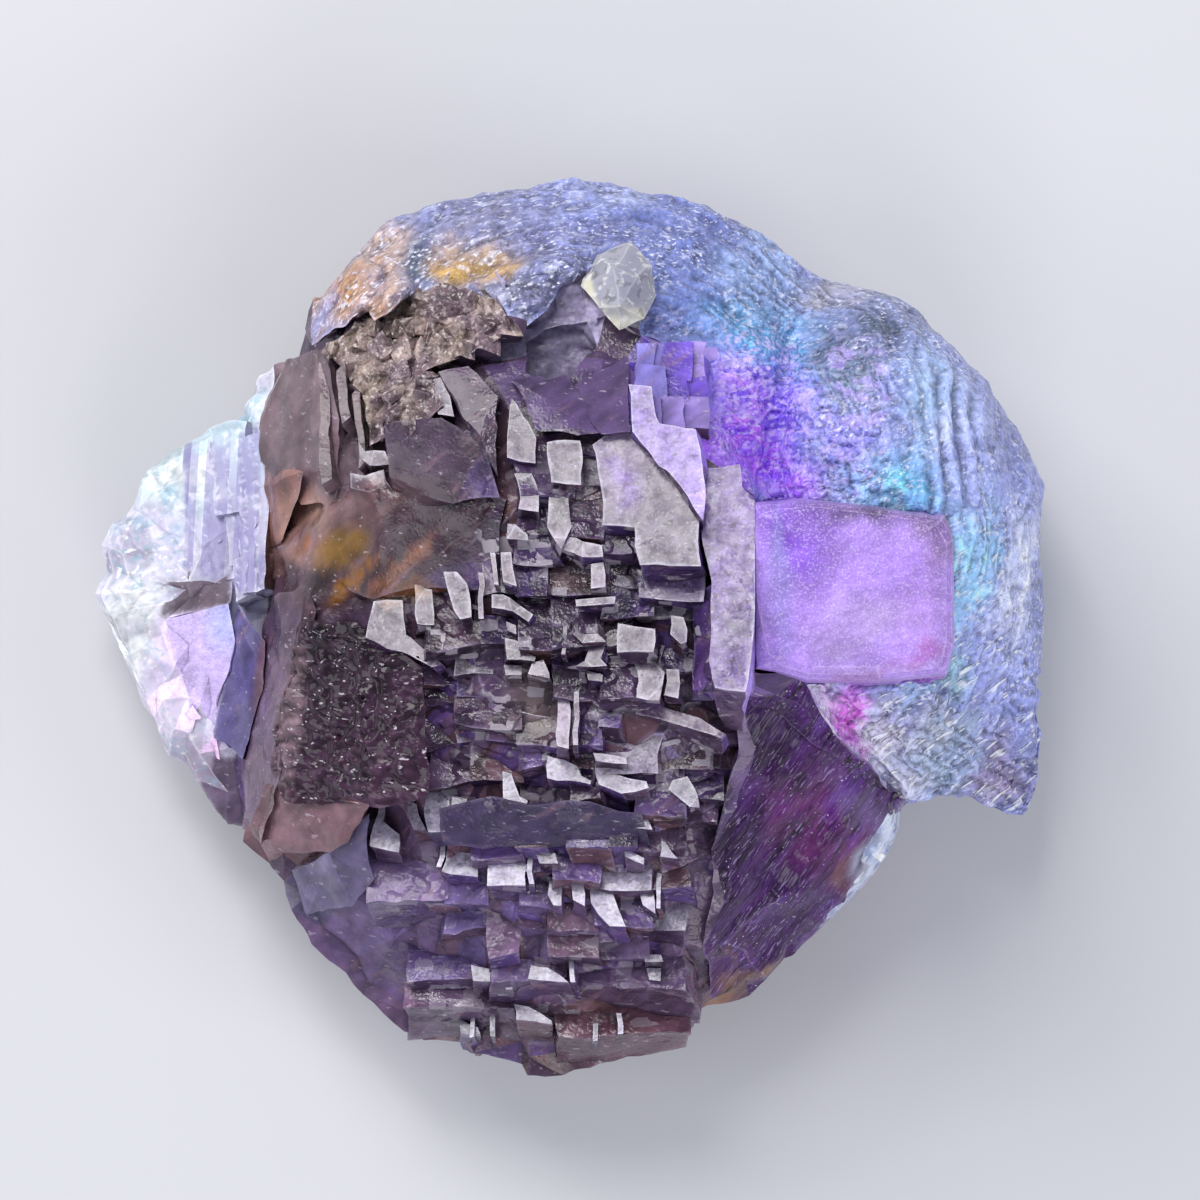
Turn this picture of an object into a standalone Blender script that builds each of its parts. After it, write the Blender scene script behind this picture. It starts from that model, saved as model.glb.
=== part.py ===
"""Fluorite specimen, about 70 mm across: intergrown crystals lying on their broken back.

A dark stepped crystal fills the middle. A domed crystal stands behind its top edge, a
rounded one at its right, and a low bright cluster at its left. A frosted cube grows out
of the right side. All of it grew together, so it is one solid. +Z is the side that the
crystals face, +X runs along the longest side, and the flat broken back rests at z = 0.

Sizes are written in millimetres and turned to metres when the solid is finished.
"""

import itertools
import math
import random

import bmesh
import bpy
from mathutils import Matrix, Vector

MM = 0.001
NAME = "fluorite_cluster"
SEED = 11

# The cube faces of the dark crystal all lean back alike: up the crystal, and a little left.
LEAN_UP = math.radians(18.0)
LEAN_LEFT = math.radians(4.0)
TURN = math.radians(-2.5)

FACET_ROUGH = 0.35  # uneven height of the broken and etched faces
RIM_ROUGH = 0.8  # uneven height of a crystal's widest outline
BACK_ROUGH = 0.5
STEP_DEPTH = 6.0  # how deep a step's block reaches into its crystal
PLATE_DEPTH = 9.0
FACET_DEPTH = 5.0
STEP_LIFT = 0.45  # how far a clean step stands above the crystal's general slope
WELD = 0.0005  # points this close are made one
FLATNESS = (1.8, 1.6, 1.4, 1.2, 1.0, 0.8, 0.6, 0.4, 0.2)  # degrees, the first that works


class Crystal:
    """One rounded crystal: its outline seen from the front, and the slope of its front."""

    def __init__(self, outline, middle, peak, top, rim, drop, reach, power, spread, floor):
        self.outline = outline  # widest outline, at rim height
        self.middle = Vector(middle)  # point that the rings shrink to
        self.peak = Vector(peak)  # highest point of the front
        self.top = top  # height there
        self.rim = rim  # height of the widest outline
        self.drop = drop  # how far the front falls at the distance reach
        self.reach = reach
        self.power = power
        self.spread = spread  # stretch of distances left, right, down and up
        self.floor = floor  # lowest height of its back

    def height(self, x, y):
        """Height of the front above the rest plane at a point."""
        left, right, down, up = self.spread
        across = (x - self.peak.x) * (left if x < self.peak.x else right)
        along = (y - self.peak.y) * (down if y < self.peak.y else up)
        return self.top - self.drop * (math.hypot(across, along) / self.reach) ** self.power


DARK = Crystal(
    outline=[
        (-24.3, -15.8), (-22.4, -17.2), (-21.2, -18.6), (-20.6, -20.6), (-19.3, -23.0),
        (-16.8, -25.4), (-15.6, -27.1), (-12.8, -29.6), (-11.2, -30.4), (-8.4, -30.6),
        (-7.2, -31.5), (-4.1, -32.2), (-3.7, -33.0), (-1.0, -33.1), (1.9, -32.3),
        (5.6, -31.0), (7.8, -30.6), (8.8, -29.4), (9.5, -27.9), (12.8, -27.1),
        (14.0, -26.2), (17.3, -23.1), (20.1, -20.4), (22.9, -17.6), (24.2, -14.6),
        (22.5, -5.0), (15.0, 11.0), (9.0, 20.0), (2.0, 22.5), (-8.0, 22.0),
        (-15.5, 19.0), (-21.0, 12.0), (-22.8, 2.0), (-23.6, -8.0),
    ],
    middle=(2.0, 3.0), peak=(3.0, 8.0), top=33.0, rim=8.8, drop=22.6, reach=41.0, power=1.85,
    spread=(1.25, 1.35, 1.0, 1.4), floor=0.0,
)

DOMED = Crystal(
    outline=[
        (-20.2, 20.0), (-19.8, 22.2), (-19.2, 24.0), (-17.6, 26.2), (-16.3, 28.3),
        (-14.8, 29.4), (-13.9, 30.6), (-12.1, 31.2), (-9.1, 31.8), (-6.2, 32.6),
        (-3.2, 33.0), (1.9, 33.1), (6.3, 32.6), (8.9, 32.0), (9.8, 31.1),
        (12.6, 30.5), (13.7, 29.3), (15.9, 28.1), (17.5, 27.6), (18.7, 25.9),
        (20.3, 21.9), (19.6, 15.3), (16.6, 7.9), (9.3, 5.0), (-1.0, 5.0),
        (-11.3, 7.9), (-17.9, 11.6), (-20.7, 15.3),
    ],
    middle=(0.0, 17.0), peak=(0.0, 13.0), top=28.0, rim=10.0, drop=17.5, reach=21.0, power=2.1,
    spread=(0.95, 0.95, 1.0, 1.0), floor=2.2,
)

ROUNDED = Crystal(
    outline=[
        (16.2, 24.1), (18.8, 25.7), (21.2, 25.8), (23.4, 25.3), (25.3, 23.9),
        (26.8, 21.9), (28.0, 20.8), (29.0, 19.0), (31.5, 17.0), (32.6, 15.4),
        (33.4, 13.3), (34.8, 11.2), (35.0, 9.6), (34.4, 7.0), (34.7, 3.2),
        (34.3, -2.5), (34.1, -9.7), (33.8, -12.1), (32.8, -13.5), (31.7, -13.8),
        (28.4, -12.7), (26.9, -12.6), (25.8, -13.2), (24.0, -13.4), (19.6, -9.7),
        (15.1, -4.6), (12.9, 2.1), (13.7, 10.9), (14.6, 18.2),
    ],
    middle=(23.0, 6.0), peak=(22.0, 9.0), top=25.6, rim=9.5, drop=14.5, reach=14.0, power=2.8,
    spread=(1.0, 1.05, 0.6, 0.82), floor=2.6,
)

BRIGHT = Crystal(
    outline=[
        (-20.4, 20.0), (-22.0, 19.4), (-23.4, 18.2), (-24.7, 15.3), (-26.4, 14.7),
        (-28.2, 13.8), (-31.5, 11.5), (-32.6, 8.8), (-34.1, 7.6), (-34.9, 5.9),
        (-34.5, 4.1), (-35.1, 2.6), (-34.4, 0.8), (-33.2, -2.4), (-31.9, -5.7),
        (-31.1, -6.6), (-30.1, -9.3), (-28.8, -9.8), (-27.9, -11.5), (-25.6, -14.9),
        (-20.1, -15.6), (-16.5, -9.7), (-16.5, 2.1), (-17.2, 15.3),
    ],
    middle=(-25.0, 3.0), peak=(-19.0, 4.0), top=12.8, rim=6.6, drop=5.2, reach=15.5, power=1.7,
    spread=(1.0, 1.0, 0.75, 0.85), floor=1.6,
)

RINGS = ((0.96, 0.6), (0.85, 0.97), (0.66, 1.0), (0.36, 1.0))  # scale, share of the slope
BACK_RINGS = ((0.95, 0.5), (0.6, 0.0))  # scale, and share of the rim's height

# Clean cube-face steps, as outlines seen from the front, by band from the crown to the tip.
CROWN_STEPS = [
    [(-4.6, 16.4), (-4.0, 15.6), (-2.5, 13.8), (-2.5, 11.9), (-4.7, 12.3)],
    [(-4.3, 11.0), (-3.2, 11.0), (-2.6, 8.2), (-4.2, 8.4)],
    [(-4.6, 7.6), (-4.1, 7.5), (-3.2, 6.8), (-3.2, 6.4), (-4.6, 6.5)],
    [(-5.1, 5.6), (-4.3, 5.6), (-4.0, 3.3), (-5.1, 3.5)],
    [(-1.8, 13.4), (0.3, 13.3), (0.4, 10.2), (-1.8, 10.3)],
    [(-2.1, 9.8), (-0.6, 9.3), (-0.1, 7.2), (-0.9, 5.6), (-1.8, 7.2)],
    [(-0.4, 7.0), (0.6, 6.3), (2.1, 6.0), (2.1, 5.0), (0.6, 5.1), (-0.9, 5.8)],
    [(1.2, 4.7), (2.1, 4.7), (2.1, 2.8), (1.2, 2.9)],
    [(0.3, 2.2), (2.8, 2.1), (2.8, 1.6), (0.3, 1.7)],
    [(-15.9, 13.8), (-15.3, 13.1), (-13.4, 12.9), (-13.2, 11.8), (-14.8, 12.0), (-15.7, 12.6)],
    [(-16.3, 11.5), (-15.3, 11.3), (-13.7, 11.5), (-13.7, 9.9), (-16.3, 10.4)],
    [(-10.2, 18.0), (-9.6, 18.1), (-9.0, 16.8), (-8.8, 15.3), (-9.8, 15.4)],
]
MIDDLE_STEPS = [
    [(-6.1, 2.5), (-4.6, 2.4), (-3.0, 1.2), (-3.4, 0.7), (-4.6, 1.4), (-6.1, 1.5)],
    [(-5.1, -0.7), (-4.0, -0.9), (-3.9, -1.6), (-3.1, -2.1), (-3.2, -2.4), (-5.1, -2.2)],
    [(-5.0, 0.5), (-4.3, 0.3), (-4.3, -0.3), (-4.9, -0.1)],
    [(-3.3, -2.6), (-2.4, -2.4), (-1.8, -3.2), (-1.8, -3.6), (-3.5, -3.3)],
    [(-5.1, -2.8), (-3.9, -2.9), (-3.9, -3.5), (-5.0, -3.5)],
    [(-0.1, -0.4), (1.9, -0.5), (2.4, -1.0), (0.7, -1.1)],
    [(1.2, -1.1), (2.4, -1.3), (2.2, -2.1), (2.6, -2.5), (0.4, -2.6), (1.0, -2.1)],
    [(3.4, 0.4), (5.6, -0.1), (5.6, -1.8), (3.3, -1.6)],
    [(4.4, -2.1), (5.4, -2.0), (6.3, -3.2), (6.2, -5.1), (4.7, -5.0)],
    [(6.6, 0.8), (7.5, 0.8), (7.9, -0.9), (7.5, -1.1), (6.6, -0.6)],
    [(6.5, -2.9), (7.4, -2.9), (7.6, -4.9), (6.5, -4.8)],
    [(1.1, -2.9), (2.1, -3.1), (2.1, -3.6), (1.2, -3.6)],
    [(-1.3, -4.9), (-0.4, -4.9), (-0.4, -8.7), (-1.3, -8.5)],
    [(4.6, -5.4), (6.3, -5.7), (8.7, -6.5), (10.7, -7.6), (10.3, -7.9), (7.8, -7.1), (4.6, -6.1)],
    [(1.6, -8.8), (2.8, -8.8), (4.0, -9.1), (4.0, -9.6), (1.8, -9.4)],
    [(-2.0, -9.2), (-0.7, -9.4), (0.3, -9.9), (0.6, -10.6), (1.3, -10.9), (1.2, -11.2), (-1.9, -10.8)],
    [(1.8, -10.3), (3.2, -10.3), (5.3, -11.0), (5.4, -11.7), (3.4, -11.8), (1.8, -11.2)],
    [(-5.2, -10.4), (-4.6, -10.5), (-4.2, -12.2), (-3.5, -12.3), (-3.6, -12.6), (-5.2, -12.6)],
    [(7.2, -11.0), (8.1, -10.7), (8.5, -11.6), (8.9, -12.9), (8.2, -12.9), (6.9, -11.6)],
    [(-9.4, 4.0), (-8.4, 4.0), (-7.6, 3.3), (-7.5, 0.8), (-8.2, 0.7), (-9.0, 2.1)],
    [(-11.4, 3.1), (-10.2, 2.9), (-10.2, 0.4), (-11.4, 0.4)],
    [(-14.4, 2.0), (-12.2, 2.1), (-12.1, -0.3), (-9.4, -2.4), (-10.1, -2.6), (-15.1, -0.7)],
]
LOWER_STEPS = [
    [(-8.8, -12.0), (-8.3, -12.2), (-6.7, -14.6), (-9.1, -14.4)],
    [(-12.0, -12.6), (-11.3, -12.6), (-10.7, -14.6), (-11.7, -14.5)],
    [(-14.6, -12.7), (-14.2, -12.8), (-14.0, -14.0), (-12.8, -14.8), (-12.8, -16.1), (-14.6, -15.8)],
    [(-15.0, -16.4), (-12.9, -16.5), (-12.8, -18.5), (-14.1, -18.4), (-15.0, -17.5)],
    [(-12.2, -17.6), (-11.2, -17.8), (-11.0, -18.9), (-8.5, -19.8), (-8.6, -20.1), (-10.9, -20.0),
     (-12.2, -19.4)],
    [(-9.6, -16.1), (-6.9, -16.3), (-6.9, -17.9), (-9.6, -17.6)],
    [(-6.1, -16.3), (-3.7, -16.5), (-3.7, -18.8), (-6.1, -18.6)],
    [(-2.0, -18.1), (-1.0, -18.4), (-1.0, -20.4), (-1.6, -20.3), (-2.1, -19.4)],
    [(1.0, -17.6), (1.9, -17.8), (2.8, -18.8), (3.7, -21.5), (2.6, -21.5), (1.0, -20.1)],
    [(4.4, -18.2), (5.4, -17.9), (5.8, -20.6), (4.9, -20.1)],
    [(4.3, -13.5), (5.2, -13.3), (5.6, -14.4), (4.3, -14.3)],
    [(6.1, -14.9), (6.5, -15.4), (7.3, -16.5), (6.1, -16.3)],
    [(-2.8, -16.3), (-1.3, -16.3), (-1.2, -17.2), (-2.5, -17.2)],
    [(-0.6, -17.9), (0.4, -18.1), (0.6, -20.3), (-0.3, -20.0)],
    [(3.4, -16.0), (4.9, -16.5), (4.9, -17.0), (3.5, -16.6)],
]
TIP_STEPS = [
    [(-7.7, -24.5), (-6.3, -24.8), (-6.2, -25.7), (-7.6, -25.7)],
    [(-5.2, -24.8), (-4.6, -24.8), (-4.6, -26.2), (-5.2, -26.2)],
    [(-3.2, -24.5), (-1.9, -24.8), (-0.5, -26.0), (-3.2, -25.7)],
    [(5.1, -23.7), (6.5, -23.9), (6.5, -24.4), (5.1, -24.3)],
    [(5.3, -24.8), (6.3, -24.9), (6.2, -25.8), (5.4, -25.7)],
    [(-11.8, -26.3), (-10.7, -26.5), (-10.8, -27.1), (-11.8, -26.9)],
    [(-4.4, -27.4), (-3.5, -27.6), (-1.8, -28.7), (-1.8, -29.0), (-4.4, -28.7)],
    [(-10.7, -28.4), (-10.1, -28.2), (-9.3, -28.7), (-9.4, -29.0), (-10.7, -28.7)],
    [(-8.7, -28.7), (-7.1, -29.1), (-6.9, -29.8), (-8.6, -29.6)],
]
# Thin upright blades between the steps: x, then the upper and lower ends.
BLADES = [
    (-6.6, -12.6, -14.1), (-3.3, -16.2, -18.6), (-9.9, -15.1, -17.3), (6.1, -17.8, -20.3),
    (-0.2, -24.2, -26.0), (-7.5, -28.3, -29.8), (-6.0, -28.2, -29.8), (1.4, -28.9, -30.1),
    (3.1, -28.2, -29.8), (-5.7, 5.6, 3.2), (-0.6, 0.1, -1.8), (0.1, -4.6, -8.4),
    (-6.8, 4.0, 0.7),
]
BLADE_WIDTH = 0.36

# Where the small unsorted steps fill in between the clean ones.
STEPPED_AREA = [
    (-5.2, 17.0), (-2.0, 15.0), (1.8, 12.6), (8.6, 1.8), (8.2, -5.0), (12.4, -7.6),
    (11.6, -12.0), (9.6, -15.0), (9.8, -19.5), (7.4, -22.5), (2.5, -24.0), (-3.5, -23.0),
    (-9.0, -22.0), (-14.6, -19.8), (-15.0, -16.2), (-10.4, -12.4), (-10.6, -2.6), (-15.2, -0.4),
    (-14.6, 2.0), (-10.0, 4.0), (-5.6, 3.2),
]
TIP_AREA = [(-12.0, -22.6), (8.0, -23.8), (7.6, -28.6), (-1.0, -29.8), (-8.0, -28.8), (-11.6, -26.8)]
SMALL_STEP = (2.2, 5.2, 1.15)  # shortest and longest side of one, and how wide for its height
TIP_STEP = (1.8, 4.6, 2.6)  # the same near the tip, where the steps are low and wide
SMALL_STEP_TILT = (3.5, 6.5)  # degrees that one leans away from the clean steps
SMALL_STEP_SINK = (-0.1, 1.5)  # depth of one below the crystal's general slope
TIP_STEP_SINK = (0.7, 1.7)


def lattice():
    """Directions of the dark crystal's own cube: across, along and out of its front."""
    turned = Matrix.Rotation(-LEAN_UP, 3, "X") @ Matrix.Rotation(-LEAN_LEFT, 3, "Y")
    return turned @ Matrix.Rotation(TURN, 3, "Z")


def finished(name, bm):
    """A bmesh as an object, its faces made triangles and turned outwards."""
    bmesh.ops.triangulate(bm, faces=bm.faces)
    bmesh.ops.recalc_face_normals(bm, faces=bm.faces)
    mesh = bpy.data.meshes.new(name)
    bm.to_mesh(mesh)
    bm.free()
    shape = bpy.data.objects.new(name, mesh)
    bpy.context.scene.collection.objects.link(shape)
    return shape


def loft(name, rings):
    """A closed body through rings of equally many points, capped at both ends."""
    bm = bmesh.new()
    rows = [[bm.verts.new(point) for point in ring] for ring in rings]
    count = len(rows[0])
    for lower, upper in zip(rows, rows[1:]):
        for i in range(count):
            j = (i + 1) % count
            bm.faces.new((lower[i], lower[j], upper[j], upper[i]))
    bm.faces.new(list(reversed(rows[0])))
    bm.faces.new(rows[-1])
    return finished(name, bm)


def hull(name, points):
    """The convex body around some points."""
    bm = bmesh.new()
    for point in points:
        bm.verts.new(point)
    result = bmesh.ops.convex_hull(bm, input=bm.verts)
    inner = [item for item in result["geom_interior"] if isinstance(item, bmesh.types.BMVert)]
    bmesh.ops.delete(bm, geom=inner, context="VERTS")
    return finished(name, bm)


def facet(name, front, depth=FACET_DEPTH, draw_in=0.86):
    """A crystal face as a solid wedge: its front corners, and the same ones drawn in behind."""
    middle = sum((Vector(point) for point in front), Vector()) / len(front)
    back = []
    for point in front:
        corner = middle.lerp(Vector(point), draw_in)
        back.append((corner.x, corner.y, corner.z - depth))
    return hull(name, list(front) + back)


def crystal_body(name, crystal, chance, sink=0.0):
    """A rounded crystal as rings: its back, its widest outline and its front."""
    rings = []
    for scale, share in reversed(BACK_RINGS):
        ring = []
        for point in crystal.outline:
            spot = crystal.middle.lerp(Vector(point), scale)
            height = crystal.floor + (crystal.rim - crystal.floor) * share
            uneven = chance.uniform(-1, 1) * BACK_ROUGH if share > 0.0 else 0.0
            ring.append((spot.x, spot.y, height + uneven))
        rings.append(ring)
    rings.append([(x, y, crystal.rim + chance.uniform(-1, 1) * RIM_ROUGH) for x, y in crystal.outline])
    for scale, share in RINGS:
        ring = []
        for point in crystal.outline:
            spot = crystal.middle.lerp(Vector(point), scale + chance.uniform(-0.01, 0.01))
            front = crystal.height(spot.x, spot.y) - sink + chance.uniform(-1, 1) * FACET_ROUGH * scale
            ring.append((spot.x, spot.y, crystal.rim + (front - crystal.rim) * share))
        rings.append(ring)
    return loft(name, rings)


def inside(x, y, outline):
    """Whether a point lies inside an outline."""
    crossed = False
    for (ax, ay), (bx, by) in zip(outline, outline[1:] + outline[:1]):
        if (ay > y) != (by > y) and x < ax + (y - ay) * (bx - ax) / (by - ay):
            crossed = not crossed
    return crossed


def middle_of(outline):
    xs = [x for x, _ in outline]
    ys = [y for _, y in outline]
    return (min(xs) + max(xs)) / 2, (min(ys) + max(ys)) / 2


def step_block(name, outline, height, depth=STEP_DEPTH, tilt=None, grow=0.0):
    """A block whose front lies in the lattice and shows as the outline when seen from above."""
    x, y = middle_of(outline)
    axes = lattice()
    if tilt is not None:
        about_x, about_y = (math.radians(angle) for angle in tilt)
        axes = Matrix.Rotation(about_x, 3, "X") @ Matrix.Rotation(about_y, 3, "Y") @ axes
    out = axes.col[2]
    origin = Vector((x, y, height))
    bm = bmesh.new()
    front = []
    for px, py in outline:
        away = Vector((px - x, py - y)) * (1.0 + grow)
        # the height at which the front plane passes over this corner
        rise = -(away.x * out.x + away.y * out.y) / out.z
        front.append(bm.verts.new(origin + Vector((away.x, away.y, rise))))
    back = [bm.verts.new(corner.co - out * depth) for corner in front]
    count = len(front)
    bm.faces.new(front)
    bm.faces.new(list(reversed(back)))
    for i in range(count):
        j = (i + 1) % count
        bm.faces.new((front[i], back[i], back[j], front[j]))
    return finished(name, bm)


def clean_steps():
    """The flat, clean steps of the dark crystal, each proud of its surroundings."""
    chance = random.Random(SEED + 1)
    blocks = []
    for outline in CROWN_STEPS + MIDDLE_STEPS + LOWER_STEPS + TIP_STEPS:
        x, y = middle_of(outline)
        height = DARK.height(x, y) + STEP_LIFT + chance.uniform(0.0, 0.4)
        blocks.append(step_block("step", outline, height))
    for x, upper, lower in BLADES:
        half = BLADE_WIDTH / 2
        outline = [(x - half, upper), (x + half, upper), (x + half, lower), (x - half, lower)]
        height = DARK.height(x, (upper + lower) / 2) + STEP_LIFT + chance.uniform(0.2, 0.5)
        blocks.append(step_block("blade", outline, height))
    return blocks


def split(box, sides, chance):
    """Splits a rectangle again and again into unequal small ones."""
    x0, y0, x1, y1 = box
    wide = x1 - x0
    high = y1 - y0
    shortest, longest, shape = sides
    if max(wide / shape, high) < chance.uniform(shortest * 1.3, longest):
        return [box]
    share = chance.uniform(0.35, 0.65)
    if wide > high * shape * chance.uniform(0.7, 1.35):
        cut = x0 + wide * share
        return split((x0, y0, cut, y1), sides, chance) + split((cut, y0, x1, y1), sides, chance)
    cut = y0 + high * share
    return split((x0, y0, x1, cut), sides, chance) + split((x0, cut, x1, y1), sides, chance)


def small_steps():
    """Unsorted small steps, which lean a little, between the clean ones."""
    chance = random.Random(SEED + 2)
    clean = CROWN_STEPS + MIDDLE_STEPS + LOWER_STEPS + TIP_STEPS
    blocks = []
    for area, sides, sink in (
        (STEPPED_AREA, SMALL_STEP, SMALL_STEP_SINK), (TIP_AREA, TIP_STEP, TIP_STEP_SINK),
    ):
        xs = [x for x, _ in area]
        ys = [y for _, y in area]
        for x0, y0, x1, y1 in split((min(xs), min(ys), max(xs), max(ys)), sides, chance):
            x = (x0 + x1) / 2
            y = (y0 + y1) / 2
            height = DARK.height(x, y) - chance.uniform(*sink)
            tilt = [chance.uniform(*SMALL_STEP_TILT) * chance.choice((-1, 1)) for _ in range(2)]
            grow = chance.uniform(0.04, 0.14)
            if not inside(x, y, area) or any(inside(x, y, outline) for outline in clean):
                continue
            skew = [chance.uniform(-0.25, 0.25) for _ in range(4)]
            outline = [(x0, y0 + skew[0]), (x1, y0 + skew[1]), (x1, y1 + skew[2]), (x0, y1 + skew[3])]
            blocks.append(step_block("small_step", outline, height, tilt=tilt, grow=grow))
    return blocks


# Single faces of the dark crystal's left side: corners as x, y and height.
MAUVE_FACE = [
    (-21.4, 19.6, 16.0), (-18.8, 20.3, 20.5), (-17.7, 19.3, 22.0), (-16.8, 14.6, 23.2),
    (-17.2, 9.4, 22.6), (-20.1, 9.0, 18.2), (-22.9, 12.2, 13.5), (-23.0, 14.6, 13.5), (-22.3, 17.1, 14.5),
]
POINTED_FACE = [
    (-22.9, 12.1, 12.0), (-20.0, 11.4, 19.8), (-24.0, 9.6, 10.5), (-23.2, 7.2, 11.0),
    (-22.9, 5.9, 12.0), (-21.2, 6.1, 16.0),
]
LOW_BROWN_FACE = [
    (-22.9, 5.9, 12.0), (-20.1, 6.5, 17.2), (-16.8, 9.4, 22.9), (-14.3, 10.0, 25.4),
    (-14.6, 7.8, 24.6), (-20.1, 5.7, 18.4), (-21.5, 3.4, 14.5), (-22.7, 3.5, 12.2),
]
AMBER_FACE = [
    (-16.8, 9.4, 23.6), (-13.9, 10.0, 26.4), (-5.1, 9.4, 30.6), (-5.4, 5.0, 30.6),
    (-6.2, 2.8, 30.2), (-9.8, 4.3, 28.7), (-11.7, 2.8, 27.6), (-14.4, 2.1, 25.6),
    (-16.8, 2.1, 23.2), (-18.7, 5.0, 20.8), (-19.8, 6.1, 19.0),
]
SIDE_STRIP = [
    (-21.5, 2.8, 17.0), (-19.4, 2.8, 20.0), (-18.8, 1.2, 21.2), (-21.2, -5.3, 20.0),
    (-22.0, -11.9, 18.8), (-22.9, -15.8, 15.0), (-24.4, -14.8, 11.0), (-24.2, -9.7, 12.0),
    (-22.9, -4.6, 13.0), (-22.5, 0.6, 14.0),
]
ROUGH_FACE = [
    (-19.8, 0.2, 22.2), (-16.1, 0.4, 25.2), (-11.0, -2.7, 28.2), (-10.6, -11.9, 27.0),
    (-14.6, -12.8, 24.4), (-21.4, -12.6, 19.0), (-22.4, -10.4, 18.2), (-21.6, -5.3, 19.6),
]
DUSTY_FACE = [
    (-24.0, -15.2, 13.0), (-22.9, -11.6, 17.6), (-20.4, -11.4, 19.8), (-14.8, -12.6, 24.4),
    (-16.1, -15.6, 21.6), (-17.9, -16.3, 19.6), (-22.5, -16.4, 14.0),
]
SLATE_FACE = [
    (-17.9, -16.3, 19.2), (-14.8, -13.5, 23.2), (-14.8, -18.2, 20.2), (-16.5, -20.2, 17.4),
    (-19.8, -21.0, 12.2), (-20.9, -17.8, 13.2),
]
# Its right side falls in one large scratched face, folded along the rounded crystal.
SCRATCHED_FACE = [
    (12.5, -5.2, 29.9), (14.4, -5.1, 29.0), (16.6, -4.3, 27.2), (18.8, -7.9, 23.9),
    (22.9, -11.9, 17.0), (24.1, -13.5, 13.0), (23.9, -15.2, 9.6), (21.0, -19.7, 9.4),
    (17.2, -22.9, 9.2), (13.8, -26.0, 9.4), (9.9, -27.0, 13.2), (9.6, -23.0, 18.4),
    (10.6, -20.0, 20.6), (9.9, -16.0, 24.2), (12.0, -13.0, 25.2), (13.0, -8.5, 28.0),
]
FOLD_RIDGE = [(12.4, -5.0, 30.2), (14.4, -4.9, 30.0), (16.2, -3.6, 28.8), (18.9, -7.6, 25.4),
              (21.0, -9.9, 21.6), (22.8, -11.6, 18.2), (24.0, -13.4, 14.0), (18.2, -8.4, 24.6)]
# The long dark face between the middle steps and the lower ones.
DARK_BAND = [
    (-9.9, -12.9, 26.6), (-6.2, -12.4, 27.8), (1.0, -12.7, 28.2), (4.9, -13.4, 27.4), (5.3, -15.6, 25.2),
    (-2.0, -16.1, 24.9), (-6.0, -15.8, 24.8), (-9.7, -15.6, 24.2),
]
# Smooth spear-shaped faces that run up from the crown.
SPEARS = [
    [(-9.8, 18.4, 27.6), (-7.6, 18.9, 28.0), (-5.3, 16.8, 30.0), (-5.8, 11.0, 31.6), (-6.8, 13.8, 30.9)],
    [(-4.7, 17.8, 29.4), (-1.0, 18.6, 28.6), (1.9, 14.0, 32.6), (0.1, 13.7, 32.5), (-2.6, 14.3, 31.8)],
    [(0.1, 17.6, 29.0), (3.8, 19.8, 28.0), (4.0, 14.1, 33.0), (1.9, 13.9, 32.9), (-0.7, 17.1, 29.6)],
    [(-13.5, 14.6, 27.0), (-9.6, 15.2, 28.8), (-6.6, 13.0, 30.4), (-5.7, 9.6, 31.0), (-9.0, 9.2, 29.6),
     (-13.2, 10.0, 27.2)],
]
# Narrow upright plates beside the mauve face: left, right, upper, lower, and height.
SIDE_PLATES = [
    (-18.5, -17.6, 19.8, 10.6, 22.6),
    (-17.1, -16.3, 19.4, 15.0, 24.1),
    (-16.0, -15.4, 17.8, 11.8, 24.8),
]
SIDE_PLATE_TILT = (0.0, -16.0)  # degrees that these turn from the lattice, about X and Y

# Flat plates at the crown, seen from the front, each with its own height.
CROWN_PLATES = [
    ("plateau", 33.6, [(1.3, 13.2), (2.2, 13.9), (4.2, 14.2), (6.1, 11.7), (7.3, 9.7), (9.1, 8.0),
                       (9.1, 4.5), (4.6, 4.4), (4.4, 7.1), (2.2, 7.5)]),
    ("lilac_plate", 33.9, [(4.1, 17.6), (5.7, 17.5), (6.3, 14.9), (8.7, 14.3), (9.2, 12.0), (9.3, 7.6),
                           (7.4, 9.8), (6.2, 11.8), (4.1, 14.1)]),
    ("tall_plate", 34.6, [(9.2, 11.8), (11.7, 11.9), (12.4, 9.4), (12.2, 6.1), (11.8, -4.5), (10.1, -4.4),
                          (9.3, 7.8)]),
    ("brown_plate", 32.4, [(4.4, 4.2), (9.2, 4.1), (9.1, 1.9), (4.5, 2.2)]),
]
# The lilac corner that frames the frosted cube: two long faces that meet in a mitre.
CORNER_FACES = [
    [(8.4, 2.2, 31.6), (9.6, 3.0, 33.2), (10.5, -3.2, 33.6), (8.5, -4.8, 31.4)],
    [(8.5, -4.9, 31.3), (10.2, -3.1, 33.5), (13.2, -3.1, 33.3), (16.2, -3.7, 32.0), (14.3, -5.0, 31.2)],
]

CUBE_FRONT = [(13.1, 9.0), (16.6, 9.3), (22.0, 8.7), (26.5, 8.0), (27.3, 6.4), (27.3, -1.2),
              (26.8, -3.3), (22.0, -3.8), (16.6, -3.8), (13.7, -2.9), (13.2, 3.0)]
CUBE_TOP = 34.6
CUBE_ROOT = 14.0
# Rings of the cube from its root to the swollen middle of its front: scale, height under the top.
CUBE_RINGS = (
    (1.05, CUBE_TOP - CUBE_ROOT), (1.0, 1.9), (0.975, 1.15), (0.92, 0.7), (0.84, 0.42), (0.6, 0.14),
    (0.3, 0.0),
)

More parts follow.
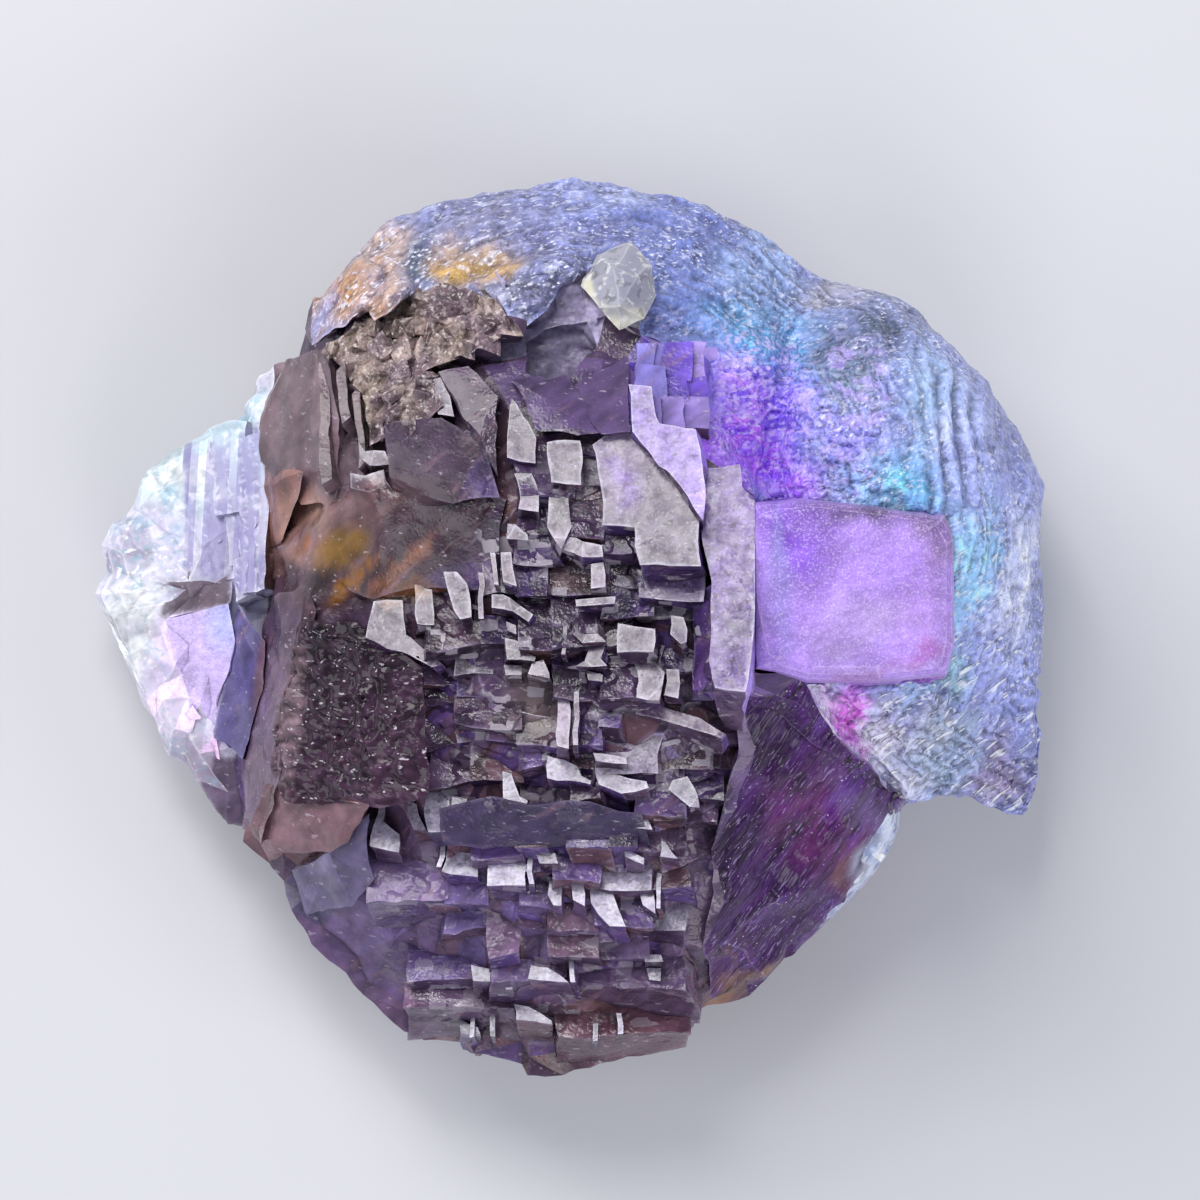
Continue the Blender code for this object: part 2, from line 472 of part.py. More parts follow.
# The bright cluster's own faces and lumps.
BRIGHT_FACES = [
    [(-30.1, 0.6, 9.8), (-25.4, 1.8, 13.4), (-24.9, -0.9, 13.0), (-26.5, -6.6, 9.6), (-27.6, -6.4, 9.0)],
    [(-30.1, 0.7, 9.7), (-29.7, 3.2, 8.8), (-28.8, 3.9, 9.2), (-25.6, 3.9, 10.8), (-25.4, 1.8, 13.3)],
    [(-24.7, 1.8, 13.4), (-22.7, -0.9, 15.0), (-22.9, -4.6, 15.0), (-24.2, -9.7, 13.0),
     (-26.4, -7.9, 9.6), (-25.7, -3.8, 10.6), (-24.9, -0.9, 12.4)],
    [(-31.0, -4.9, 8.0), (-29.1, -3.8, 9.4), (-28.5, -4.7, 9.4), (-30.0, -6.1, 7.6), (-31.1, -6.3, 7.0)],
    [(-29.7, -7.5, 8.0), (-28.1, -5.7, 9.9), (-27.5, -6.6, 9.9), (-28.9, -7.9, 8.0)],
    [(-27.5, -9.5, 8.2), (-26.4, -7.9, 10.0), (-26.1, -9.7, 9.4), (-27.0, -10.2, 7.8)],
    [(-25.0, -9.8, 9.0), (-24.2, -8.0, 12.4), (-23.0, -13.0, 12.8), (-24.4, -13.6, 9.4)],
]
# Upright terraces of the cluster: left, right, upper, lower, and height.
TERRACES = [
    (-29.4, -26.6, 7.6, 3.2, 9.6),
    (-27.6, -25.2, 9.0, 3.0, 10.6),
    (-26.6, -23.9, 15.2, 8.2, 11.3),
    (-25.9, -23.6, 11.6, 4.4, 12.0),
    (-24.6, -22.4, 14.4, 2.4, 13.4),
    (-25.2, -23.2, 5.6, 1.9, 13.6),
]
TERRACE_TILT = (6.0, -20.0)

# Above the crown: the tan and grey faces, sugary crusts, the hollow and the pale crystal.
TAN_FACE = [
    (-19.4, 24.1, 13.0), (-16.8, 27.3, 16.0), (-15.6, 28.1, 17.6), (-13.4, 26.9, 20.6),
    (-13.9, 24.1, 22.4), (-15.9, 22.5, 22.2), (-19.4, 20.8, 17.0), (-19.9, 21.9, 14.0),
]
GREY_FACE = [
    (-14.8, 22.8, 22.9), (-13.5, 25.9, 22.6), (-11.9, 26.7, 23.0), (-11.0, 25.2, 24.6),
    (-12.6, 23.5, 25.0), (-14.4, 22.2, 23.8),
]
SUGARY_AREAS = [
    [(-18.6, 20.2), (-15.7, 22.2), (-12.5, 23.4), (-9.8, 25.0), (-5.6, 24.0), (-4.4, 21.6),
     (-7.4, 19.8), (-10.2, 18.8), (-15.9, 18.6)],
    [(-15.6, 19.0), (-12.0, 19.2), (-10.0, 18.6), (-9.5, 16.0), (-11.3, 14.2), (-14.8, 13.4)],
]
SUGARY_PROUD = 0.9  # how far the sugary crusts stand above the crystals behind them
GRAIN_SPACING = 1.55
GRAIN_SIZE = (1.2, 2.0)
GRAIN_PROUD = (1.0, 1.7)
GRAIN_LEAN = 0.6  # radians, the most that one leans
LEDGE = [
    (-4.4, 21.6, 26.8), (-5.6, 24.4, 25.4), (-4.0, 26.6, 23.4), (0.4, 28.0, 22.2), (1.2, 26.2, 24.0),
    (-0.2, 25.8, 25.2), (-3.4, 24.8, 26.2),
]
HOLLOW = [
    (-4.3, 24.4), (-3.2, 25.4), (0.2, 26.0), (1.0, 24.2), (-0.8, 20.9), (-2.6, 20.4), (-4.2, 21.4),
]
HOLLOW_FLOOR = 20.5
HOLLOW_MOUTH = 36.4  # height above everything around it
PALE_CRYSTAL = [
    (0.8, 24.8, 24.2), (1.7, 27.2, 22.6), (4.1, 28.0, 22.0), (5.6, 26.5, 23.2), (6.0, 24.1, 24.6),
    (4.9, 22.6, 26.2), (3.1, 21.9, 26.6), (1.9, 23.3, 26.0), (3.0, 25.9, 25.6), (4.6, 25.2, 25.8),
    (3.3, 23.4, 27.4),
]
VIOLET_STEPS = (4.6, 14.6, 9.6, 20.6)  # x0, y0, x1, y1 of the small steps above the lilac plate
VIOLET_STEP = (1.5, 2.8, 1.0)
VIOLET_HEIGHT = 32.2  # of the steps at the lower left corner, from which they fall
VIOLET_FALL = (0.3, 0.75)  # across and along
VIOLET_UNEVEN = 0.35
VIOLET_TILT = ((-12.0, -5.0), (3.0, 9.0))
CHIPPED_EDGE = [(19.6, -18.9), (20.9, -17.2), (21.8, -15.9), (22.7, -14.7), (18.6, -20.2)]
CHIP_SIZE = (1.6, 2.5)
CHIP_HEIGHT = (10.4, 11.2)
EDGE_RIDGES = [(29.4, 15.6, 2.0), (31.4, 12.4, -6.6), (32.7, 7.6, -9.8)]  # x, upper and lower end
EDGE_RIDGE = 0.7  # how far a ridge stands above the rounded crystal
EDGE_RIDGE_SIDES = ((-1.1, 0.2), (0.0, 0.0), (0.66, 2.2))  # offset across, height under the ridge
PLATE_CORNERS = (0.7, 0.1, 0.5, 0.2)  # how far the corners of a thin plate are off square


def plates():
    """Thin plates of the left side, the crown and the bright cluster."""
    made = []
    for group, tilt in ((SIDE_PLATES, SIDE_PLATE_TILT), (TERRACES, TERRACE_TILT)):
        for left, right, upper, lower, height in group:
            first, second, third, fourth = PLATE_CORNERS
            outline = [
                (left, upper - first), (right - second, upper),
                (right, lower + third), (left + fourth, lower),
            ]
            made.append(step_block("plate", outline, height, depth=PLATE_DEPTH, tilt=tilt))
    for name, height, outline in CROWN_PLATES:
        made.append(step_block(name, outline, height, depth=PLATE_DEPTH))
    return made


def dark_faces():
    """The large single faces of the dark crystal."""
    named = {
        "mauve_face": MAUVE_FACE, "pointed_face": POINTED_FACE, "low_brown_face": LOW_BROWN_FACE,
        "amber_face": AMBER_FACE, "side_strip": SIDE_STRIP, "rough_face": ROUGH_FACE,
        "dusty_face": DUSTY_FACE, "slate_face": SLATE_FACE, "dark_band": DARK_BAND,
        "scratched_face": SCRATCHED_FACE, "fold_ridge": FOLD_RIDGE,
    }
    made = [facet(name, corners) for name, corners in named.items()]
    made += [facet("spear", corners) for corners in SPEARS]
    made += [facet("corner_face", corners, PLATE_DEPTH, 0.97) for corners in CORNER_FACES]
    return made


def frosted_cube():
    """The frosted cube: a slightly leaning block with worn, rounded edges and a swollen front."""
    middle = Vector(middle_of(CUBE_FRONT))
    rings = []
    for scale, under in CUBE_RINGS:
        ring = [middle.lerp(Vector(point), scale) for point in CUBE_FRONT]
        rings.append([(spot.x, spot.y, CUBE_TOP - under) for spot in ring])
    return loft("frosted_cube", rings)


def lump(name, x, y, height, size, chance):
    """A small broken block, turned any way."""
    points = []
    turn = Matrix.Rotation(chance.uniform(0, math.tau), 3, "Z")
    turn = turn @ Matrix.Rotation(chance.uniform(-1, 1) * GRAIN_LEAN, 3, "X")
    turn = turn @ Matrix.Rotation(chance.uniform(-1, 1) * GRAIN_LEAN, 3, "Y")
    for sx in (-1, 1):
        for sy in (-1, 1):
            for sz in (-1, 1):
                corner = Vector((sx, sy, sz)) * size * 0.5 * chance.uniform(0.8, 1.1)
                points.append(Vector((x, y, height)) + turn @ corner)
    return hull(name, points)


def behind(x, y):
    """Height of the dark or the domed crystal, whichever stands in front here."""
    return max(DARK.height(x, y), DOMED.height(x, y))


def sugary_crusts():
    """Crusts of small crystals between the crown and the domed crystal."""
    chance = random.Random(SEED + 3)
    made = []
    for area in SUGARY_AREAS:
        made.append(facet("sugary_crust", [(x, y, behind(x, y) + SUGARY_PROUD) for x, y in area]))
        x = min(x for x, _ in area)
        while x < max(x for x, _ in area):
            y = min(y for _, y in area)
            while y < max(y for _, y in area):
                px = x + chance.uniform(-0.4, 0.4)
                py = y + chance.uniform(-0.4, 0.4)
                size = chance.uniform(*GRAIN_SIZE)
                height = behind(px, py) + chance.uniform(*GRAIN_PROUD) - size * 0.6
                if inside(px, py, area):
                    made.append(lump("grain", px, py, height, size, chance))
                y += GRAIN_SPACING
            x += GRAIN_SPACING
    return made


def upper_pieces():
    """Faces, ledge, pale crystal and small violet steps above the crown."""
    chance = random.Random(SEED + 4)
    made = [
        facet("tan_face", TAN_FACE),
        facet("grey_face", GREY_FACE),
        facet("ledge", LEDGE, draw_in=0.8),
        facet("pale_crystal", PALE_CRYSTAL, draw_in=0.7),
    ]
    left, low, _, _ = VIOLET_STEPS
    for x0, y0, x1, y1 in split(VIOLET_STEPS, VIOLET_STEP, chance):
        outline = [(x0, y0), (x1, y0), (x1, y1), (x0, y1)]
        x, y = middle_of(outline)
        height = VIOLET_HEIGHT - VIOLET_FALL[0] * (x - left) - VIOLET_FALL[1] * (y - low)
        height += chance.uniform(-1, 1) * VIOLET_UNEVEN
        tilt = [chance.uniform(*angles) for angles in VIOLET_TILT]
        made.append(step_block("violet_step", outline, height, tilt=tilt, grow=0.12))
    return made


def bright_pieces():
    return [facet("bright_face", corners) for corners in BRIGHT_FACES]


def edge_pieces():
    """Chips along the broken right edge, and ridges down the rounded crystal's right side."""
    chance = random.Random(SEED + 5)
    made = []
    for x, y in CHIPPED_EDGE:
        made.append(lump("chip", x, y, chance.uniform(*CHIP_HEIGHT), chance.uniform(*CHIP_SIZE), chance))
    for x, upper, lower in EDGE_RIDGES:
        points = []
        for y in (upper, (upper + lower) / 2, lower):
            height = ROUNDED.height(x, y) + EDGE_RIDGE
            for across, under in EDGE_RIDGE_SIDES:
                points.append((x + across, y, max(height - under, ROUNDED.rim)))
        made.append(facet("edge_ridge", points, draw_in=0.9))
    return made


def boolean(target, operands, operation):
    """Joins or cuts with several closed shapes, which are then removed."""
    group = bpy.data.collections.new(operation)
    bpy.context.scene.collection.children.link(group)
    for shape in operands:
        group.objects.link(shape)
        bpy.context.scene.collection.objects.unlink(shape)
    modifier = target.modifiers.new(operation, "BOOLEAN")
    modifier.operation = operation
    modifier.solver = "MANIFOLD"  # the exact one leaves open edges among this many steps
    modifier.operand_type = "COLLECTION"
    modifier.collection = group
    graph = bpy.context.evaluated_depsgraph_get()
    mesh = bpy.data.meshes.new_from_object(target.evaluated_get(graph))
    target.modifiers.clear()
    target.data = mesh
    for shape in operands:
        bpy.data.objects.remove(shape)
    bpy.data.collections.remove(group)


def shells(bm):
    """The faces of each separate closed surface."""
    left = set(bm.faces)
    while left:
        start = left.pop()
        shell = [start]
        queue = [start]
        while queue:
            for edge in queue.pop().edges:
                for face in edge.link_faces:
                    if face in left:
                        left.remove(face)
                        shell.append(face)
                        queue.append(face)
        yield shell


def simplified(mesh, flatness, method):
    """The outer surface with nearly flat neighbours joined, and whether it is still closed."""
    bm = bmesh.new()
    bm.from_mesh(mesh)
    bmesh.ops.triangulate(bm, faces=bm.faces)
    outer = set(max(shells(bm), key=len))
    bmesh.ops.delete(bm, geom=[face for face in bm.faces if face not in outer], context="FACES")
    bmesh.ops.remove_doubles(bm, verts=bm.verts, dist=WELD)
    bmesh.ops.dissolve_degenerate(bm, dist=WELD, edges=bm.edges)
    bmesh.ops.dissolve_limit(bm, angle_limit=math.radians(flatness), verts=bm.verts, edges=bm.edges)
    bmesh.ops.triangulate(bm, faces=bm.faces, ngon_method=method)
    bmesh.ops.recalc_face_normals(bm, faces=bm.faces)
    closed = all(len(edge.link_faces) == 2 for edge in bm.edges)
    return bm, closed


def clean(target):
    """Keeps only the outer surface, with as few triangles as leave it closed."""
    for flatness, method in itertools.product(FLATNESS, ("EAR_CLIP", "BEAUTY")):
        bm, closed = simplified(target.data, flatness, method)
        if closed:
            bm.to_mesh(target.data)
            print(f"flat within {flatness} degrees, {method}")
        bm.free()
        if closed:
            return
    raise ValueError("the joined surface isn't closed")


def set_in_place(target):
    """Centres the solid over the rest plane and turns millimetres to metres."""
    points = [vert.co for vert in target.data.vertices]
    lows = [min(point[i] for point in points) for i in range(3)]
    highs = [max(point[i] for point in points) for i in range(3)]
    shift = Vector((-(lows[0] + highs[0]) / 2, -(lows[1] + highs[1]) / 2, -lows[2]))
    target.data.transform(Matrix.Scale(MM, 4) @ Matrix.Translation(shift))
    print(f"size {[round(high - low, 2) for low, high in zip(lows, highs)]} mm, shift {shift[:]}")


def fluorite():
    """Purple fluorite: a clear mineral of low gloss index."""
    material = bpy.data.materials.new("fluorite")
    material.use_nodes = True
    shader = material.node_tree.nodes["Principled BSDF"]
    shader.inputs["Base Color"].default_value = (0.17, 0.10, 0.24, 1.0)
    shader.inputs["Roughness"].default_value = 0.3
    shader.inputs["Metallic"].default_value = 0.0
    shader.inputs["IOR"].default_value = 1.434
    return material


def main():
    for thing in list(bpy.data.objects):
        bpy.data.objects.remove(thing)
    chance = random.Random(SEED)
    body = crystal_body(NAME, DARK, chance, sink=0.8)
    parts = [
        crystal_body("domed_crystal", DOMED, chance),
        crystal_body("rounded_crystal", ROUNDED, chance),
        crystal_body("bright_cluster", BRIGHT, chance),
        frosted_cube(),
    ]
    parts += dark_faces() + plates() + sugary_crusts() + upper_pieces() + bright_pieces()
    parts += edge_pieces() + clean_steps() + small_steps()
    print(f"{len(parts)} shapes to join")
    boolean(body, parts, "UNION")
    hollow = step_block("hollow", HOLLOW, HOLLOW_MOUTH, depth=HOLLOW_MOUTH - HOLLOW_FLOOR)
    boolean(body, [hollow], "DIFFERENCE")
    clean(body)
    set_in_place(body)
    body.data.materials.clear()
    body.data.materials.append(fluorite())
    print(f"{len(body.data.polygons)} triangles")


main()
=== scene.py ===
import math

import bmesh
import bpy
import numpy as np
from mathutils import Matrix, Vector


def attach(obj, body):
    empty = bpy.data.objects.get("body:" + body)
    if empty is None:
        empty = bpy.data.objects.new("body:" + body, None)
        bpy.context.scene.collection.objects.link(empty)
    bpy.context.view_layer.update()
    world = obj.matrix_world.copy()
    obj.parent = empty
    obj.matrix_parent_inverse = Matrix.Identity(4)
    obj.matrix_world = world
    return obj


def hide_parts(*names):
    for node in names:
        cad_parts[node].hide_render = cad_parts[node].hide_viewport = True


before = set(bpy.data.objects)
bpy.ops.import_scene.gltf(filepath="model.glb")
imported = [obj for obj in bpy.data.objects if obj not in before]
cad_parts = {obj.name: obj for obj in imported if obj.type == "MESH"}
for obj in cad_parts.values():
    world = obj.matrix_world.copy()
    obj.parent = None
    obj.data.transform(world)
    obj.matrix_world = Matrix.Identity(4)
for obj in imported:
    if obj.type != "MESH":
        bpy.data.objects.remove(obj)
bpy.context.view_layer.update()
mm = 0.001
nodeName = "fluorite_cluster"

# what a user would change on the specimen, with the lengths in mm
fluorite = {
    "ior": 1.434,
    "edges": {"back": 1.7, "plain": 1.0, "fine": 0.5, "finest": 0.4, "steps": 0.23},  # longest triangle edges
    "rounding": 70,  # passes that round off the domed and the rounded crystal
    "chance": 7,  # seed of the differences between facets
    "relief": {  # height, size of the features, seed, layers
        "swell": (0.34, 7.0, 3, 2),
        "folds": (0.30, 3.4, 11, 3),
        "grain": (0.16, 1.3, 21, 2),
        "crust": (0.18, 2.2, 53, 2),
        "scratches": (0.16, 1.0, 61, 2),
        "scratchedSwell": (0.35, 5.0, 63, 2),
        "clusterFaces": (0.05, 1.6, 71, 3),
        "hollow": (0.8, 1.8, 77, 2),
        "darkFaces": (0.05, 1.6, 81, 2),
        "skirt": (0.3, 2.5, 83, 3),
        "cube": (0.03, 2.0, 91, 2),
    },
    "cubelets": {  # size, turn in radians, seed, lean and wall of small intergrown cubes
        "chunks": (2.1, 0.35, 201, 0.5, 1.7),
        "shards": (0.95, 0.6, 211, 0.5, 1.7),
        "steps": (1.0, -0.04, 221, 0.3, 3.4),
        "fineSteps": (0.6, 0.03, 225, 0.4, 2.6),
        "etching": (1.7, 0.3, 231, 0.6, 1.2),
    },
    "colours": {  # of each skin, below its own tones
        "dark": "#5c4a62", "etched": "#868fc8", "sugary": "#78646e", "bright": "#dcd8ee", "strip": "#d4dcf8",
        "frosted": "#a583d8", "pale": "#bcbccc", "recess": "#a098b4", "underside": "#6e608c",
    },
}
latticePrimes = (73856093, 19349663, 83492791)  # these spread neighbouring cells far apart
seedPrime, firstMix, secondMix = 2654435761, 1274126177, 668265263


def linear(hexColour):  # linear colour of an sRGB hex value
    parts = [int(hexColour[i:i + 2], 16) / 255 for i in (1, 3, 5)]
    return tuple(p / 12.92 if p <= 0.04045 else ((p + 0.055) / 1.055) ** 2.4 for p in parts)


def smooth(edgeLow, edgeHigh, value):  # 0 at the first edge, 1 at the second
    t = np.clip((value - edgeLow) / (edgeHigh - edgeLow), 0.0, 1.0)
    return t * t * (3.0 - 2.0 * t)


def between(value, start, full, stillFull, end):  # 0 up to start and from end, 1 from full to stillFull
    return smooth(start, full, value) * smooth(end, stillFull, value)


def hashed(ix, iy, iz, seed):  # a number from 0 to 1 for each lattice cell
    h = (ix * latticePrimes[0]) ^ (iy * latticePrimes[1]) ^ (iz * latticePrimes[2])
    h = h ^ (seed * seedPrime % (1 << 31))
    h = (h ^ (h >> 13)) * firstMix & 0x7FFFFFFF
    h = (h ^ (h >> 16)) * secondMix & 0x7FFFFFFF
    return ((h ^ (h >> 15)) & 0xFFFFFF) / float(0xFFFFFF)


def noise(at, seed):  # smooth value noise from -1 to 1, at points scaled by the caller
    base = np.floor(at).astype(np.int64)
    part = at - base
    part = part * part * part * (part * (part * 6 - 15) + 10)
    total = np.zeros(len(at))
    for dx in (0, 1):
        wx = part[:, 0] if dx else 1 - part[:, 0]
        for dy in (0, 1):
            wy = part[:, 1] if dy else 1 - part[:, 1]
            for dz in (0, 1):
                wz = part[:, 2] if dz else 1 - part[:, 2]
                total += wx * wy * wz * hashed(base[:, 0] + dx, base[:, 1] + dy, base[:, 2] + dz, seed)
    return total * 2 - 1


def noisePair(at, seed):  # two noises, for a shift across the front
    return np.stack([noise(at, seed), noise(at, seed + 1)], axis=1)


def layered(at, scale, seed, layers=3):  # octaves of noise, the largest features scale mm wide
    total = np.zeros(len(at))
    weight = 1.0
    for i in range(layers):
        total += weight * noise(at / scale * 2 ** i, seed + i)
        weight *= 0.5
    return total / (2 - 0.5 ** (layers - 1))


# relief of small intergrown cubes: its height in mm, and a number for the cube at each point
def blocks(xy, size, turn, seed, lean, wall):
    across, along = math.cos(turn) / size, math.sin(turn) / size
    u = xy[:, 0] * across + xy[:, 1] * along
    v = xy[:, 1] * across - xy[:, 0] * along
    height = np.full(len(xy), -9.0)
    owner = np.zeros(len(xy))
    level = np.zeros(len(xy), np.int64)
    for du in (-1, 0, 1):
        for dv in (-1, 0, 1):
            cu, cv = np.floor(u).astype(np.int64) + du, np.floor(v).astype(np.int64) + dv
            part = [hashed(cu, cv, level, seed + i) for i in range(6)]
            x, y = u - cu - 0.2 - 0.6 * part[0], v - cv - 0.2 - 0.6 * part[1]
            top = 0.6 * part[2] + lean * (x * (2 * part[3] - 1) + y * (2 * part[4] - 1))
            side = 0.6 * part[2] + wall * (0.3 + 0.4 * part[5] - np.maximum(np.abs(x), np.abs(y)))
            own = np.minimum(top, side)
            owner = np.where(own > height, part[3], owner)
            height = np.maximum(own, height)
    return (np.maximum(height, -0.6) - 0.3) * size, owner


def insideOf(xy, outline):  # distance in mm to an outline, positive inside
    crossed = np.zeros(len(xy), bool)
    nearest = np.full(len(xy), 1e9)
    x, y = xy[:, 0], xy[:, 1]
    for (ax, ay), (bx, by) in zip(outline, outline[1:] + outline[:1]):
        with np.errstate(divide="ignore", invalid="ignore"):
            hit = ((ay > y) != (by > y)) & (x < ax + (y - ay) * (bx - ax) / ((by - ay) or 1e-9))
        crossed ^= hit
        ex, ey = bx - ax, by - ay
        t = np.clip(((x - ax) * ex + (y - ay) * ey) / (ex * ex + ey * ey), 0, 1)
        nearest = np.minimum(nearest, np.hypot(x - ax - t * ex, y - ay - t * ey))
    return np.where(crossed, nearest, -nearest)


def softlyIn(xy, outline, start, full):  # from 0 to 1 across an outline, by two distances inside it
    return smooth(start, full, insideOf(xy, outline))


def inEllipse(xy, patch):  # 1 at the middle of an elliptical patch, 0 at its rim, below 0 beyond
    cx, cy, rx, ry = patch[:4]
    turn = math.radians(patch[4]) if len(patch) > 4 else 0.0
    x, y = xy[:, 0] - cx, xy[:, 1] - cy
    u = x * math.cos(turn) + y * math.sin(turn)
    v = -x * math.sin(turn) + y * math.cos(turn)
    return 1.0 - np.sqrt((u / rx) ** 2 + (v / ry) ** 2)


# the fronts of the crystals, as the solid has them: highest at the peak and lower all round it
crystals = {
    "dark": dict(peak=(3.0, 8.0), top=33.0, drop=22.6, reach=41.0, power=1.85,
                 spread=(1.25, 1.35, 1.0, 1.4)),
    "domed": dict(peak=(0.0, 13.0), top=28.0, drop=17.5, reach=21.0, power=2.1,
                  spread=(0.95, 0.95, 1.0, 1.0)),
    "rounded": dict(peak=(22.0, 9.0), top=25.6, drop=14.5, reach=14.0, power=2.8,
                    spread=(1.0, 1.05, 0.6, 0.82)),
}
frontNormal = np.array((-0.0698, 0.3083, 0.9487))  # cube faces of the dark crystal face this way
growthCentre = (2.0, 8.0)  # the skins of the domed and the rounded crystal grew around this place
roughBox = ((-22.0, -10.0), (-13.5, 1.0))  # x and y of the rough face, which is meshed more finely


def frontHeight(xy, crystal):
    left, right, down, up = crystal["spread"]
    px, py = crystal["peak"]
    across = (xy[:, 0] - px) * np.where(xy[:, 0] < px, left, right)
    along = (xy[:, 1] - py) * np.where(xy[:, 1] < py, down, up)
    return crystal["top"] - crystal["drop"] * (np.hypot(across, along) / crystal["reach"]) ** crystal["power"]


# the mesh is a copy of the solid, merged and then subdivided
def mergedCopy(doubles=0.0008):
    bm = bmesh.new()
    bm.from_mesh(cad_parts[nodeName].data)
    for face in bm.faces:
        face.material_index = 0
    bmesh.ops.scale(bm, vec=(1 / mm,) * 3, verts=bm.verts)
    bmesh.ops.remove_doubles(bm, verts=bm.verts, dist=doubles)
    bmesh.ops.dissolve_degenerate(bm, dist=doubles, edges=bm.edges)
    bmesh.ops.triangulate(bm, faces=[f for f in bm.faces if len(f.verts) > 3])
    bm.normal_update()
    return bm


# numbers each flat facet on its faces, and gives its normal, middle and area
def markFacets(bm, flat=0.9998):
    layer = bm.faces.layers.int.new("facet")
    bm.faces.ensure_lookup_table()
    seen = [-1] * len(bm.faces)
    found = []
    for start in range(len(bm.faces)):
        if seen[start] >= 0:
            continue
        number = len(found)
        seen[start] = number
        queue = [bm.faces[start]]
        normal = bm.faces[start].normal.copy()
        area, middle = 0.0, Vector()
        while queue:
            face = queue.pop()
            face[layer] = number
            faceArea = face.calc_area()
            area += faceArea
            middle += face.calc_center_median() * faceArea
            for edge in face.edges:
                for other in edge.link_faces:
                    if seen[other.index] < 0 and other.normal.dot(normal) > flat:
                        seen[other.index] = number
                        queue.append(other)
        found.append((tuple(normal), tuple(middle / max(area, 1e-9)), area))
    return found


def edgeLimit(point):  # longest edge allowed at a point: short where the skin is etched
    x, y, z = point
    edge = fluorite["edges"]
    (roughLeft, roughRight), (roughLow, roughHigh) = roughBox
    onRough = roughLeft < x < roughRight and roughLow < y < roughHigh
    if z < (3.5 if x < -22.0 else 7.0):
        return edge["back"]
    if 9.2 < x < 17.0 and 8.6 < y < 21.5 and z > 14.0:
        return edge["steps"]
    if x < -22.0 or (5.0 < x < 22.0 and 9.0 < y < 21.0) or onRough:
        return edge["finest"]
    dark = crystals["dark"]
    (px, py), (left, right, down, up) = dark["peak"], dark["spread"]
    away = math.hypot((x - px) * (left if x < px else right), (y - py) * (down if y < py else up))
    front = dark["top"] - dark["drop"] * (away / dark["reach"]) ** dark["power"]
    if z > front - 2.5 and -24.0 < x < 13.0 and y < 13.0:
        return edge["plain"]
    return edge["fine"]


def subdivide(bm, rounds=7, slack=1.3):
    for _ in range(rounds):
        long = [e for e in bm.edges
                if e.calc_length() > slack * edgeLimit((e.verts[0].co + e.verts[1].co) / 2)]
        if not long:
            break
        bmesh.ops.subdivide_edges(bm, edges=long, cuts=1)
        bmesh.ops.triangulate(bm, faces=[f for f in bm.faces if len(f.verts) > 3], ngon_method="BEAUTY")


def readBack(items, name, kind, width):  # an array of what each vertex, edge or face of the mesh holds
    values = np.empty(len(items) * width, kind)
    items.foreach_get(name, values)
    return values.reshape(-1, width) if width > 1 else values


bm = mergedCopy()
facets = markFacets(bm)
subdivide(bm)
mesh = bpy.data.meshes.new("fluorite_crystals")
bm.to_mesh(mesh)
bm.free()
points = readBack(mesh.vertices, "co", float, 3)
triangles = readBack(mesh.polygons, "vertices", int, 3)
edges = readBack(mesh.edges, "vertices", int, 2)
facetOf = readBack(mesh.attributes["facet"].data, "value", np.int32, 1)
count = len(points)
print(f"mesh: {len(facets)} facets, {count} points, {len(triangles)} triangles")

# outlines in mm, seen from the front, of which crystal or face each place belongs to
cubeOutline = [(13.0, 9.1), (16.6, 9.5), (22.0, 8.9), (26.7, 8.1), (27.5, 6.4), (27.5, -1.2), (26.9, -3.5),
               (22.0, -4.0), (16.6, -4.0), (13.5, -3.0), (13.0, 3.0)]
brightOutline = [(-21.2, 21.0), (-22.3, 17.1), (-23.0, 14.6), (-22.9, 12.2), (-24.1, 9.6), (-23.3, 7.2),
                 (-22.9, 5.9), (-22.7, 3.5), (-22.1, 2.0), (-22.5, 0.6), (-22.9, -4.6), (-24.2, -9.7),
                 (-24.5, -16.0), (-37.0, -16.0), (-37.0, 21.0)]
sugaryOutlines = [
    [(-18.8, 20.2), (-15.7, 22.3), (-12.5, 23.6), (-9.8, 25.2), (-5.4, 24.2), (-4.2, 21.6), (-7.4, 19.6),
     (-10.2, 18.6), (-15.9, 18.4)],
    [(-15.7, 19.0), (-12.0, 19.3), (-9.8, 18.7), (-9.3, 16.0), (-11.3, 14.0), (-15.0, 13.2)],
]
roughOutline = [(-20.4, 0.6), (-16.1, 0.8), (-10.8, -2.7), (-10.4, -12.1), (-14.6, -13.0), (-21.6, -12.8),
                (-22.6, -10.4), (-21.8, -5.3)]
scratchedOutline = [(12.3, -5.2), (14.4, -4.9), (16.6, -4.1), (18.9, -7.7), (23.0, -11.7), (24.4, -13.5),
                    (24.1, -15.4), (21.2, -19.9), (17.4, -23.1), (13.8, -26.3), (9.7, -27.2), (9.4, -23.0),
                    (10.4, -20.0), (9.7, -16.0), (11.8, -13.0), (12.8, -8.5)]
violetOutline = [(5.0, 27.0), (12.0, 27.5), (20.5, 25.5), (23.5, 19.0), (22.5, 8.8), (13.2, 8.6),
                 (12.7, 12.3), (9.8, 12.4), (10.1, 21.3), (5.0, 21.5)]
lowerOutline = [(13.5, -3.4), (16.8, -4.2), (19.0, -7.6), (23.0, -11.6), (24.8, -13.8), (25.4, -17.0),
                (38.0, -17.0), (38.0, 3.0), (28.0, 3.0), (27.0, -3.4)]
hollowOutline = [(-5.6, 26.0), (-1.6, 27.2), (3.4, 26.4), (3.2, 22.0), (1.2, 19.4), (-5.2, 19.8)]
